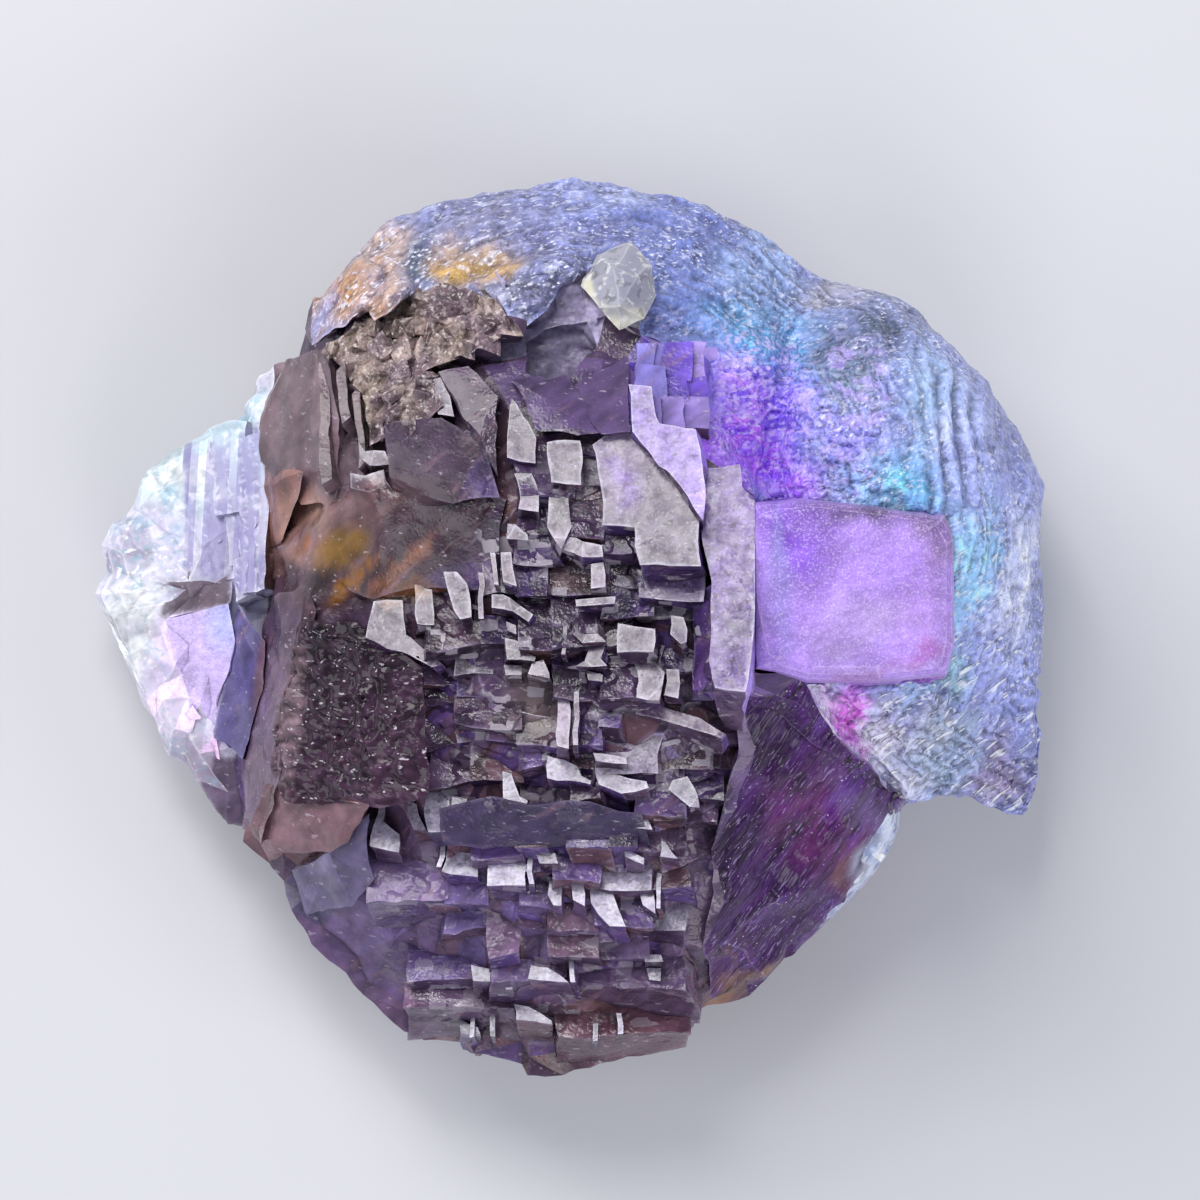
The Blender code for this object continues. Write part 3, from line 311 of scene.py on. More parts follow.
chunkyOutline = [(-20.5, 20.8), (-22.6, 17.2), (-22.7, 14.9), (-28.4, 13.8), (-28.9, 6.0), (-29.2, 4.2),
                 (-30.7, 1.4), (-31.2, -3.6), (-33.0, -5.0), (-38.0, -8.0), (-38.0, 21.0)]
terraceOutline = [(-28.7, 13.6), (-22.3, 14.8), (-22.3, 2.0), (-25.4, 2.4), (-28.9, 4.4)]
clusterFacets = [  # material, colour, outline in mm, for single faces of the bright cluster
    ("frosted", "#c6b0e4", [(-30.4, 0.8), (-25.2, 1.9), (-24.8, -0.9), (-26.5, -7.0), (-27.9, -6.5)]),
    ("dark", "#5c4c58", [(-30.3, 0.9), (-29.8, 3.4), (-28.8, 4.1), (-25.3, 4.0), (-25.3, 1.85)]),
    ("dark", "#443878", [(-24.9, 2.0), (-22.5, -0.9), (-22.8, -4.6), (-24.1, -9.8), (-26.5, -8.0),
                         (-25.7, -3.8), (-24.9, -0.9)]),
    ("frosted", "#f4dcf8", [(-31.3, -4.7), (-29.0, -3.6), (-28.4, -4.8), (-30.0, -6.2), (-31.3, -6.4)]),
    ("frosted", "#ecd0f2", [(-29.9, -7.5), (-28.0, -5.6), (-27.4, -6.6), (-28.9, -8.0)]),
    ("frosted", "#f0c8f0", [(-27.6, -9.5), (-26.3, -7.8), (-26.0, -9.8), (-27.0, -10.4)]),
    ("dark", "#5e4c66", [(-26.5, -9.6), (-24.0, -9.6), (-23.8, -16.0), (-28.5, -16.0), (-28.5, -11.6),
                         (-26.6, -11.4)]),
    ("dark", "#5a4474", [(-25.2, -9.8), (-24.2, -8.0), (-22.8, -13.0), (-24.4, -14.0)]),
]
stripOutline = [(22.6, -13.9), (25.0, -12.9), (24.8, -16.2), (22.6, -19.0), (20.0, -22.0), (18.2, -23.4),
                (18.3, -21.8), (20.0, -19.2), (21.2, -17.0), (22.0, -15.2)]
paleOutline = [(0.4, 24.8), (1.5, 27.6), (4.2, 28.4), (6.0, 26.8), (6.4, 24.0), (5.0, 22.3), (3.0, 21.6),
               (1.6, 23.0)]


# how far each point belongs to the bright, domed, rounded and dark crystals, and to the cube
def shares(xyz):
    dark = frontHeight(xyz, crystals["dark"]) - 0.6
    domed = frontHeight(xyz, crystals["domed"])
    rounded = frontHeight(xyz, crystals["rounded"])
    lower = softlyIn(xyz, lowerOutline, -0.2, 0.4)
    side = np.maximum(smooth(-0.6, 0.6, rounded - domed), lower)
    behind = smooth(-0.5, 0.5, np.maximum(domed, rounded) - dark)
    behind = np.maximum(behind, smooth(22.0, 24.0, xyz[:, 1]))
    behind = np.maximum(behind, softlyIn(xyz, violetOutline, -0.2, 0.4))
    behind = np.maximum(behind, lower)
    bright = softlyIn(xyz, brightOutline, -0.15, 0.15)
    cube = softlyIn(xyz, cubeOutline, -0.1, 0.1) * smooth(19.0, 20.5, xyz[:, 2])
    return dict(bright=bright, domed=behind * (1 - side) * (1 - bright),
                rounded=behind * side * (1 - bright), dark=(1 - behind) * (1 - bright), cube=cube)


slots = ["etched", "dark", "polished", "frosted", "bright", "pale", "rough", "scratched", "sugary", "recess"]
slotNumber = {name: i for i, name in enumerate(slots)}
facetNormal = np.array([f[0] for f in facets])
facetMiddle = np.array([f[1] for f in facets])
facetArea = np.array([f[2] for f in facets])
facetX, facetY, facetZ = facetMiddle.T
facetShare = shares(facetMiddle)
facetSlot = np.full(len(facets), slotNumber["dark"])


def facetsIn(outline, margin=0.0):
    return insideOf(facetMiddle, outline) > margin


def give(kind, chosen):  # a material for whole facets
    facetSlot[chosen] = slotNumber[kind]


def leansFromFront(degrees):  # facets that face the front of the dark crystal within that angle
    return facetNormal @ frontNormal > math.cos(math.radians(degrees))


give("etched", np.maximum(facetShare["domed"], facetShare["rounded"]) > 0.5)
for outline in sugaryOutlines:
    give("sugary", facetsIn(outline) & (facetZ > 15))
onFront = (facetShare["dark"] > 0.5) & (facetZ > 10)
give("rough", onFront & facetsIn(roughOutline) & (facetArea > 2.0))
give("scratched", onFront & facetsIn(scratchedOutline))
inCluster = (facetShare["bright"] > 0.5) | (facetsIn(terraceOutline) & (facetZ < 14.3))
give("bright", inCluster)
for kind, colour, outline in clusterFacets:
    give(kind, inCluster & facetsIn(outline))

# the windows are the placed steps, and more of the small ones towards the lower end
isWindow = leansFromFront(1.8) & (facetX > -17) & (facetX < 13) & (facetY < 18.5)
lowerEnd = smooth(2.0, -6.0, facetY) * (facetY > -31) * (facetX > -14) * (facetX < 9.6)
smallSteps = leansFromFront(7) & (facetArea < 9.0) & (facetZ > 9.0)
smallSteps &= (facetY < 14) & (facetX > -15) & (facetX < 12)
drawn = hashed(*[np.round(facetMiddle[:, i] * 3).astype(np.int64) for i in range(3)], 5)
give("polished", isWindow | (smallSteps & (drawn < 0.10 + 0.30 * lowerEnd)))

cubeSides = facetsIn(cubeOutline, -0.5) & (facetZ > 20.5) & (np.abs(facetNormal[:, 2]) < 0.4)
onCube = (facetShare["cube"] > 0.5) | (cubeSides & (facetSlot == slotNumber["etched"]))
give("frosted", onCube)
give("pale", facetsIn(paleOutline) & (facetZ > 21.0))
inRecess = facetsIn(hollowOutline) & (facetSlot != slotNumber["pale"]) & (facetZ < 25.2)
inRecess |= facetsIn(hollowOutline) & (facetZ < 23.4)
inRecess &= facetY < 25.2
inRecess |= (np.abs(facetX + 1.0) < 4.0) & (np.abs(facetY - 18.6) < 2.2) & (facetZ < 22.5)
give("dark", (np.hypot(facetX + 11.4, facetY - 13.7) < 0.8) & (facetArea < 0.1))  # a stray one on a spear
give("recess", inRecess)
sliver = facetsIn(violetOutline, 0.2) & (facetX > 9.8) & (facetSlot == slotNumber["dark"])
give("etched", sliver & (facetShare["cube"] < 0.5))

# a few facets are parted between two materials
slotOf = facetSlot[facetOf]
faceMiddle = points[triangles].mean(axis=1)
sliver = (insideOf(faceMiddle, violetOutline) > 0.1) & (faceMiddle[:, 0] > 9.9) & ~onCube[facetOf]
sliver &= (slotOf == slotNumber["dark"]) & (facetShare["cube"][facetOf] < 0.5)
slotOf[sliver] = slotNumber["etched"]
slotOf[(slotOf == slotNumber["recess"]) & (faceMiddle[:, 1] > 26.0)] = slotNumber["etched"]
inStrip = (insideOf(faceMiddle, stripOutline) > 0) & (slotOf == slotNumber["scratched"])
slotOf[inStrip] = slotNumber["bright"]
print("facets a material:", {name: int((facetSlot == i).sum()) for i, name in enumerate(slots)})

links = np.maximum(np.bincount(edges.ravel(), minlength=count), 1)
facesAround = np.maximum(np.bincount(triangles.ravel(), minlength=count), 1)


def neighbourMean(values):
    total = np.zeros_like(values)
    np.add.at(total, edges[:, 0], values[edges[:, 1]])
    np.add.at(total, edges[:, 1], values[edges[:, 0]])
    return total / (links[:, None] if values.ndim > 1 else links)


def pointNormals():
    a, b, c = points[triangles[:, 0]], points[triangles[:, 1]], points[triangles[:, 2]]
    across = np.cross(b - a, c - a)
    total = np.zeros_like(points)
    for i in range(3):
        np.add.at(total, triangles[:, i], across)
    return total / np.maximum(np.linalg.norm(total, axis=1), 1e-12)[:, None]


def pointShare(kind):  # how far the faces around each point have a material
    has = np.zeros(count)
    for i in range(3):
        np.add.at(has, triangles[:, i], (slotOf == slotNumber[kind]).astype(float))
    return has / facesAround


# closes and fills narrow gaps, and trims the outline
x, y, z = points.T  # these follow each change of the points
byCube = between(x, 11.6, 12.15, 13.7, 14.4) * between(y, -5.2, -4.4, 9.2, 10.0) * smooth(15.0, 18.0, z)
points[:, 0] += (13.05 - x) * 0.98 * byCube  # between the cube and the plate beside it
sunk = softlyIn(points, hollowOutline, 0.0, 0.8) * smooth(25.6, 24.8, y) * (z > 17.0) * (z < 24.2)
sunk = np.maximum(sunk, (np.abs(x + 1.0) < 4.2) * (y > 16.0) * (y < 21.0) * (z > 17.0) * (z < 23.0))
points[:, 2] += (24.2 - z) * 0.82 * sunk
stripSlot = between(x, -17.6, -17.1, -15.5, -15.0) * between(y, 10.2, 11.0, 16.6, 17.4)
points[:, 2] += (22.9 - z) * 0.7 * (stripSlot * (z > 19.5) * (z < 22.9))
onSpear = 28.95 + (0.42 * (x + 9.67) - 0.08 * (y - 12.74)) / 0.9  # the plane of the upper spear face
pitted = (np.hypot(x + 11.35, y - 13.7) < 0.8) & (z > 26) & (z < onSpear)
points[:, 2] = np.where(pitted, onSpear, z)
aboveFloor = smooth(1.0, 4.0, z)
points[:, 1] += 1.5 * between(x, 1.5, 8.0, 9.6, 11.0) * smooth(-29.0, -32.0, y) * aboveFloor
points[:, 0] += 0.9 * smooth(28.0, 32.5, x) * smooth(-4.0, -11.0, y) * aboveFloor
points[:, 1] -= 1.2 * smooth(28.0, 31.0, x) * smooth(-9.5, -12.5, y) * aboveFloor

# rounds off the domed and the rounded crystal, the back and the glowing face
share = shares(points)
around = {kind: pointShare(kind) for kind in slots}
windows, cubeShare, brightShare = around["polished"], around["frosted"], around["bright"]
sugary = np.zeros(count)
for outline in sugaryOutlines:
    sugary = np.maximum(sugary, softlyIn(points, outline, -0.3, 0.5))
softness = (around["etched"] >= 0.999) * (1 - sugary) * smooth(3.0, 7.0, z)
softness = np.maximum(softness, (z < 7.0) * (z > 0.02) * (brightShare < 0.5) * 0.9)
softness *= smooth(0.0, 0.02, z)
glow = smooth(0.0, 0.45, inEllipse(points, (-15.6, 6.2, 7.4, 4.4, 22))) * (1 - windows) * (z > 12.0)
softness = np.maximum(softness, 0.22 * glow)
flank = smooth(1.6, 0.4, np.abs(insideOf(points, scratchedOutline))) * (x > 16) * (y < -12.5)
softness = np.maximum(softness, 0.5 * flank * (z > 0.02))
blur = softness.copy()
for _ in range(3):
    blur = np.minimum(blur, neighbourMean(blur))
for _ in range(fluorite["rounding"]):
    points += (neighbourMean(points) - points) * (blur * 0.6)[:, None]
print("rounded off")


def raised(name, at):  # relief of one kind, in mm
    height, size, seed, layers = fluorite["relief"][name]
    return height * layered(at, size, seed, layers)


def cubelets(name, xy):
    return blocks(xy, *fluorite["cubelets"][name])


def aroundCentre():  # angle and distance of each point, seen from the growth centre
    right, up = x - growthCentre[0], y - growthCentre[1]
    return np.arctan2(up, right), np.hypot(right, up)


normals = pointNormals()
above = smooth(0.6, 3.0, z)
angle, distance = aroundCentre()

# etched skins of the domed and the rounded crystal
skinShare = np.maximum(share["domed"], share["rounded"]) * (1 - windows) * (1 - cubeShare)
skinShare *= (1 - sugary) * (1 - around["pale"]) * (1 - 0.7 * around["dark"])
push = raised("swell", points) * skinShare
push += raised("folds", np.stack([angle * 4.0, distance * 1.5, z * 0.4], axis=1)) * skinShare * share["domed"]
ledges = np.stack([angle * 26.0 / 6.0, (distance + 1.6 * noise(points / 6.0, 13)) / 1.5, z / 6.0], axis=1)
push += 0.22 * (1 - 2.2 * np.abs(noise(ledges, 15))) * skinShare
push += 0.12 * (1 - 2.2 * np.abs(noise(ledges * 2.1, 17))) * skinShare
push += raised("grain", points) * skinShare
lowerCreases = np.stack([(x * 0.5 + y * 0.86) * 1.4, (x * 0.86 - y * 0.5) * 0.35, z * 0.2], axis=1)
lowerCreases = np.clip(1 - np.abs(noise(lowerCreases / 1.6, 31)) * 5, 0, 1)
push += 0.42 * lowerCreases * smooth(-1.0, -5.0, y) * share["rounded"] * (1 - cubeShare)
ribs = between(x, 24.5, 26.5, 28.5, 30.5) * between(y, 4.0, 9.0, 17.0, 22.0)
push += 0.22 * np.sin((x + 0.12 * y) * 4.6 + 2.0 * noise(points / 4.0, 37)) * ribs * share["rounded"]

# the rough face, the sugary crust and the scratched face of the dark crystal
rough = softlyIn(points, roughOutline, -0.2, 0.8) * (around["rough"] > 0.5)
scales = np.stack([x / 1.7, y / 0.75, z / 1.2], axis=1)
push += rough * (0.50 * np.abs(noise(scales, 41)) + 0.20 * noise(scales * 1.9, 42))
crust = 0.24 * np.abs(noise(points / 0.8, 51)) - 0.1 + raised("crust", points)
push += sugary * around["sugary"] * crust * (1 - windows)
scratch = softlyIn(points, scratchedOutline, 0.0, 1.0) * (around["scratched"] > 0.5)
streaks = np.stack([(x + y) / 0.75, (x - y) / 7.0, z / 4.0], axis=1)
push += scratch * (raised("scratches", streaks) + raised("scratchedSwell", points))

# the low bright cluster: chunks and shards, and upright terraces
terraced = softlyIn(points, terraceOutline, -0.1, 0.3) * brightShare
chunky = softlyIn(points, chunkyOutline, -0.2, 0.6) * brightShare * smooth(2.0, 5.0, z) * (1 - terraced)
chunks, chunkOf = cubelets("chunks", points)
shards, shardOf = cubelets("shards", points[:, :2] + 0.3 * noisePair(points, 73))
push += chunky * (0.34 * chunks + 0.20 * shards)
terraces = (x + 0.05 * y + 0.12 * noise(points / 2.5, 75)) / 0.95
push += terraced * 0.16 * ((terraces % 1.0) ** 1.5 - 0.4)
push += (brightShare > 0.99) * (1 - chunky) * (1 - terraced) * above * raised("clusterFaces", points)

# small steps beside the crown, fading into the etching of the skins
stepped = softlyIn(points, violetOutline, -0.5, 1.2) * smooth(23.0, 19.0, y) * (1 - cubeShare)
steps, stepOf = cubelets("steps", points[:, :2] * (0.62, 1.25))
finer, fineOf = cubelets("fineSteps", points[:, :2] * (0.7, 1.3))
push += stepped * (1 - windows) * (0.36 * steps + 0.25 * finer)
etching, etchOf = cubelets("etching", points)
push += skinShare * (1 - stepped) * 0.17 * etching

# the hollow, the plain dark faces and the cube
push += softlyIn(points, hollowOutline, 0.0, 0.6) * (z < 24.5) * raised("hollow", points)
plainDark = (around["dark"] > 0.99) * (1 - rough) * (1 - scratch) * above
push += plainDark * raised("darkFaces", points)
push += plainDark * np.maximum(smooth(9.0, 5.0, z), 0.6 * smooth(-25.0, -29.0, y)) * raised("skirt", points)
push += cubeShare * raised("cube", points)
points += normals * (push * above)[:, None]

# shifts the facets a little along the front, so that no edge is ruled
drift = np.stack([noise(points / 3.2, 95) * 0.36 + noise(points / 1.1, 96) * 0.14,
                  noise(points / 3.2, 97) * 0.36 + noise(points / 1.1, 98) * 0.14, np.zeros(count)], axis=1)
drift -= (drift @ frontNormal)[:, None] * frontNormal
drift *= (1 - flank)[:, None]
points += drift * (smooth(4.0, 9.0, z) * (1 - cubeShare) * (1 - blur) * (1 - byCube))[:, None]
points[:, 2] = np.maximum(z, 0.0)
# the height of the relief at each point, for painted shade in its pits and painted light on its ridges
height = ((points - neighbourMean(points)) * pointNormals()).sum(axis=1)
height = height - 0.5 * neighbourMean(height)
paintedReliefShading = np.clip(height / 0.05, -1.0, 1.0)  # -1 in the pits of the relief, 1 on its ridges
print("roughened")

# tones: patches of colour, painted with warped borders: mostly zones of colour from the growth, and in places
# painted light and glow, as said beside them
skinTones = [  # colour, ellipse as x, y, half width, half height and turn in mm and degrees, strength
    ("#6c6a86", (-7.6, 30.0, 10.5, 3.8, 8), 0.9),
    ("#5e5e7c", (-1.4, 24.6, 3.4, 2.4), 0.9),
    ("#8c848e", (-6.4, 24.2, 2.8, 2.4), 0.8),
    ("#5c5a74", (-4.1, 24.3, 2.6, 2.1), 0.95),
    ("#6a6a90", (-5.0, 27.2, 8.5, 3.0, 5), 0.8),
    ("#74738e", (-10.4, 26.2, 8.5, 5.4, 15), 0.85),
    ("#a08c84", (-15.6, 26.2, 6.0, 5.4, 35), 0.95),
    ("#a67c58", (-16.6, 23.6, 4.4, 6.8, 25), 1.0),
    ("#b89c88", (-13.0, 27.6, 3.0, 2.4), 0.6),
    ("#244668", (-10.8, 26.8, 2.9, 2.5), 0.95),
    ("#cca045", (-7.4, 26.9, 3.8, 3.0, 10), 1.0),
    ("#5c68a6", (8.5, 29.0, 11.0, 5.4, -15), 0.9),
    # painted light: a pale band along the top rim, where the lamps fall
    ("#a4aed8", (6.3, 32.3, 9.0, 1.7, -4), 0.7),
    ("#5c5c8c", (0.6, 28.6, 7.0, 2.0, -6), 0.7),
    ("#6478bc", (8.5, 23.7, 6.5, 4.2, -20), 0.9),
    ("#94aee0", (14.6, 25.2, 5.4, 6.0, 30), 0.9),
    # painted glow: turquoise where light shines through the crystal
    ("#4ea8d8", (13.4, 20.9, 6.4, 3.8, -15), 0.9),
    # the next four: the crystal's own violet, with a painted glow where light shines through it
    ("#9c6cfa", (10.6, 16.0, 7.4, 6.0), 1.0),
    ("#8478e8", (16.8, 15.0, 5.2, 4.6), 0.9),
    ("#ac5eff", (12.2, 12.4, 6.6, 4.6, -20), 1.0),
    ("#b064ff", (13.6, 10.4, 5.0, 2.2), 0.9),
    ("#7b82a6", (22.8, 24.0, 7.2, 4.2), 0.9),
    ("#a8a0a6", (19.2, 24.6, 3.2, 1.9), 0.7),
    ("#46566e", (20.2, 20.4, 5.0, 4.4), 1.0),
    ("#84a49e", (19.9, 18.4, 3.0, 2.2), 0.6),
    ("#9cb8dc", (25.6, 16.8, 3.4, 7.0), 0.8),
    ("#b4bef0", (28.4, 13.6, 2.8, 7.5, 4), 0.8),
    ("#8890d2", (32.0, 13.2, 4.2, 8.0), 0.7),
    # the next five: painted glow, turquoise to near white, where light shines through the rounded crystal
    ("#80b2e4", (23.6, 11.4, 5.6, 4.4), 0.9),
    ("#6cc4f0", (24.4, 9.4, 4.2, 2.0), 0.8),
    ("#98d4ff", (28.6, 4.0, 2.6, 7.4), 0.9),
    ("#d0d8ff", (32.4, 3.6, 3.0, 9.0), 0.9),
    ("#eeeeff", (32.9, 2.9, 0.8, 6.2), 0.8),
    ("#9ca4e8", (30.9, -3.2, 5.4, 6.8), 0.8),
    ("#80b8c0", (26.6, -3.2, 3.8, 2.6), 0.7),
    # the next two: painted light, near white, on the lower end of the rounded crystal, which lies in the
    # cube's shadow and glows with light shining through
    ("#fff0ff", (18.2, -6.6, 4.0, 4.0), 0.9),
    ("#fff4ff", (23.6, -8.4, 3.8, 5.0), 0.9),
    ("#98acc8", (26.4, -9.0, 4.8, 4.0), 0.9),
    ("#8c7898", (31.4, -11.2, 4.4, 4.2), 0.9),
    # painted glow: magenta where light shines through
    ("#ff70ff", (21.0, -6.0, 1.9, 3.8), 1.0),
]
facetTones = [  # colour, outline in mm, for whole facets of the dark crystal
    ("#7e6c72", [(-21.8, 20.4), (-18.4, 20.8), (-15.0, 19.6), (-15.0, 12.0), (-16.6, 9.2), (-20, 9),
                 (-23.3, 12), (-23.4, 14.8), (-22.6, 17.4)]),
    ("#8c645c", [(-23.2, 12.4), (-19.7, 11.5), (-21, 5.9), (-23, 5.6), (-24.4, 9.6)]),
    ("#74584e", [(-23, 5.9), (-20.1, 6.5), (-16.8, 9.5), (-14.0, 10.2), (-14.3, 7.4), (-20, 5.4),
                 (-21.5, 3.2), (-23, 3.2)]),
    ("#3e2a34", [(-16.9, 9.5), (-13.9, 10.2), (-5, 9.6), (-5.2, 4.8), (-6, 2.6), (-9.8, 4.1), (-11.7, 2.6),
                 (-14.4, 1.9), (-16.9, 1.9), (-19, 5), (-20, 6.2)]),
    ("#5c4a60", [(-21.4, 3), (-19.2, 3), (-18.6, 1.2), (-21, -5.3), (-21.9, -11.9), (-22.9, -16.2),
                 (-24.6, -15), (-24.4, -9.7), (-23.1, -4.6), (-22.7, 0.8)]),
    ("#1c0813", roughOutline),
    ("#72585c", [(-24.3, -15.4), (-23.1, -11.4), (-20.4, -11.2), (-14.6, -12.4), (-16, -15.8), (-17.9, -16.5),
                 (-22.5, -16.8)]),
    ("#5c5672", [(-17.9, -16.3), (-14.8, -13.5), (-14.6, -18.4), (-16.5, -20.6), (-20, -21.4),
                 (-21.2, -17.8)]),
    ("#4a3a4e", [(-13.7, 15.6), (-9.8, 18.8), (-7.4, 19.2), (-5, 16.8), (-5.2, 9.4), (-9, 9), (-13.4, 9.8)]),
    ("#625078", [(-4.9, 18.2), (-0.6, 19), (4, 20.2), (4.3, 14), (0.1, 13.4), (-2.8, 14.2)]),
    ("#2c2640", [(-10, -12.8), (-6.2, -12.2), (1, -12.5), (5.1, -13.2), (5.5, -15.8), (-2, -16.4),
                 (-9.8, -15.8)]),
    ("#40145a", scratchedOutline),
    ("#bea0ff", [(4, 17.8), (5.7, 17.7), (6.3, 15), (8.8, 14.4), (9.4, 12), (9.4, 7.4), (7.4, 9.6),
                 (6.2, 11.6), (3.9, 14)]),
    ("#8874a6", [(9.2, 12.1), (11.8, 12.1), (12.6, 9.4), (12.4, 6), (12.0, -4.7), (9.9, -4.6), (9.2, 7.8)]),
    # painted light: the narrow faces in the gap beside the cube, which lie in shade, are made pale violet
    ("#b49ce0", [(11.9, 9.6), (13.6, 9.6), (13.6, -4.4), (12.25, -4.4), (12.3, 2.0)]),
    ("#503a68", [(8.2, 2.2), (9.7, 3.0), (10.4, -2.8), (13.2, -2.9), (16.4, -3.7), (14.4, -5.2),
                 (8.3, -5.1)]),
    ("#b6a2ea", [(4.4, 14.7), (9.9, 14.6), (9.8, 21), (4.4, 21)]),
]
darkTones = [  # the same on the dark crystal, before its facets get tones of their own
    ("#65535c", (-14.0, 12.0, 14.0, 12.0), 0.8),
    ("#43324c", (-1.0, 0.0, 15.0, 19.0), 0.9),
    ("#5a3f86", (10.0, 6.0, 9.0, 12.0), 0.8),
    ("#6a5c88", (-8.0, -22.0, 14.0, 7.0), 0.9),
    ("#725e80", (2.0, -24.0, 10.0, 4.0), 0.7),
    ("#664850", (2.0, -30.4, 9.5, 4.4), 0.95),
]
softTones = [  # the same over everything on the dark crystal
    ("#6e5c64", (-21.4, -6.0, 1.6, 9.0, -8), 0.85),
    ("#82746a", (-3.0, -5.6, 4.0, 3.2), 0.6),
    ("#74586e", (-5.4, 3.4, 3.4, 2.2), 0.4),
    ("#763a70", (18.4, -14.0, 5.6, 7.5, 40), 0.8),
    ("#786a98", (21.8, -13.2, 2.2, 6.0, 40), 0.7),
    ("#5c2c90", (19.8, -12.0, 5.0, 1.2, 56), 0.7),
    ("#2c1c38", (11.8, -18.0, 2.4, 7.5, -10), 0.6),
    ("#5c4872", (10.9, -3.9, 2.4, 2.2), 0.95),
    ("#dfe6ff", (22.2, -16.9, 4.6, 1.6, 60), 1.0),
    ("#c8ccf0", (19.4, -21.4, 3.0, 1.1, 50), 0.9),
    ("#7c5450", (19.6, -18.4, 3.4, 1.5, 58), 0.7),
    ("#8c684c", (12.6, -25.6, 4.0, 1.8, 20), 0.9),
    ("#5c3478", (17.0, -9.5, 2.8, 4.0, 40), 0.5),
    ("#200c2a", (14.8, -9.0, 3.2, 4.6, 20), 0.85),
    ("#7c58b8", (2.6, 10.4, 1.8, 4.4, 20), 0.5),
    ("#241a30", (9.3, -12.0, 3.2, 5.5), 0.7),
    ("#2a2040", (11.2, 0.0, 1.8, 4.6), 0.7),
]
beamTones = [  # the same for the glow under the brown faces, with straight borders
    ("#5a444a", (-15.2, 6.0, 9.5, 5.2, 24), 1.0),
    ("#3a2a36", (-10.4, 6.9, 5.2, 3.6, 20), 0.85),
    # painted light in the shaded notch beside the pointed face
    ("#b48c82", (-19.6, 7.4, 2.8, 3.6, 10), 0.9),
    ("#86686a", (-17.4, 8.3, 6.0, 0.9, 31), 0.85),
    ("#6e5458", (-15.2, 7.6, 5.0, 0.7, 33), 0.6),
    ("#84622c", (-16.9, 5.8, 2.8, 1.7, 30), 0.9),
    ("#9a6244", (-19.4, 6.2, 1.5, 0.8, 30), 0.8),
    ("#34262c", (-18.3, 3.7, 1.6, 1.0, 42), 0.85),
    ("#96642e", (-16.1, 3.3, 3.2, 0.62, 42), 0.95),
    ("#3c2c34", (-14.4, 3.6, 3.4, 0.5, 43), 0.8),
    ("#80584a", (-12.5, 4.5, 4.4, 0.62, 43), 0.9),
    ("#84542c", (-12.0, 2.6, 3.0, 0.8, 12), 0.85),
    # painted light in the shaded notch beside the pointed face
    ("#9a7c74", (-18.7, 8.0, 1.0, 2.2, 0), 0.9),
]
brightTones = [  # the same on the low bright cluster
    ("#d4f0f8", (-27.6, 12.6, 7.5, 6.5, 35), 1.0),
    ("#ffffff", (-28.2, 11.4, 4.0, 2.6, 30), 0.9),
    ("#e2daf6", (-32.0, 6.8, 4.6, 3.4), 0.9),
    ("#fafcff", (-32.2, 0.2, 3.6, 6.5, -10), 1.0),
    ("#b4aed0", (-25.2, 8.2, 3.2, 7.5), 0.9),
    ("#7a74ac", (-23.6, 4.4, 1.5, 2.8), 0.9),
    ("#e8e4f6", (-26.6, 10.4, 1.4, 5.0), 0.6),
    ("#806f88", (-27.6, 3.1, 3.4, 1.5), 0.9),
    ("#e8cef8", (-28.0, -1.8, 3.6, 4.2, -30), 1.0),
    ("#c4c0e8", (-25.8, -0.8, 2.0, 4.2, -25), 0.8),
    ("#544a72", (-23.2, -3.0, 2.0, 7.0, -8), 1.0),
    ("#f0e0fa", (-29.6, -5.6, 3.2, 2.8, 20), 0.8),
    ("#9a86a0", (-27.2, -9.4, 3.6, 4.0), 0.9),
    ("#705e75", (-25.2, -12.8, 3.2, 3.9), 1.0),
]
cubeTones = [  # the same on the frosted cube
    ("#a482d8", (20.5, 3.2, 7.0, 5.5), 0.9),
    ("#6426b4", (15.8, 6.6, 6.4, 4.6), 0.9),
    ("#ac96c6", (20.0, 0.0, 6.0, 3.2), 0.8),
    ("#8680c4", (13.8, 3.0, 1.4, 7.5), 0.8),
    ("#b08ad0", (25.0, 0.0, 3.4, 5.0), 0.7),
    ("#4e3e64", (21.5, 8.5, 8.6, 2.8, -4), 1.0),
    ("#8a7098", (26.6, 5.5, 1.7, 4.4), 0.7),
    ("#9a70b0", (20.5, -3.5, 8.0, 1.2), 0.8),
    ("#a04c9c", (25.8, -2.8, 2.0, 1.4), 0.7),
]
clusterGlows = [  # colour, strength, ellipse, share of the way in to full strength, number of the facet
    ("#aab4ee", 0.7, (-25.6, 0.4, 2.4, 3.4), 0.8, 0),
    ("#6c4c54", 0.8, (-22.6, -3.0, 1.0, 6.0, -8), 0.6, 2),
]
paleTones = [  # colour, strength, ellipse, share of the way in where it starts
    ("#a6a6bc", 0.8, (4.2, 25.6, 2.2, 2.6), 0.1),
    ("#fffae6", 1.0, (3.4, 22.7, 2.6, 1.8), 0.0),
    ("#f4eed8", 1.0, (1.2, 24.0, 0.8, 1.9, 30), 0.0),
]


def mixed(base, colour, amount):
    return base + (np.array(linear(colour)) - base) * np.clip(amount, 0, 1)[:, None]


def plain(name, places):  # the colour of one skin at that many places
    return np.tile(linear(fluorite["colours"][name]), (places, 1))


def shaded(colour, factor):
    return colour * factor[:, None]


def patchShare(xy, patch, full=0.8):  # 0 at the rim of an elliptical patch, 1 at that share of the way in
    return smooth(0.0, full, inEllipse(xy, patch))


def painted(base, xy, tones, full=0.8, wear=1.0):
    for colour, patch, strength in tones:
        base = mixed(base, colour, patchShare(xy, patch, full) * strength * wear)
    return base


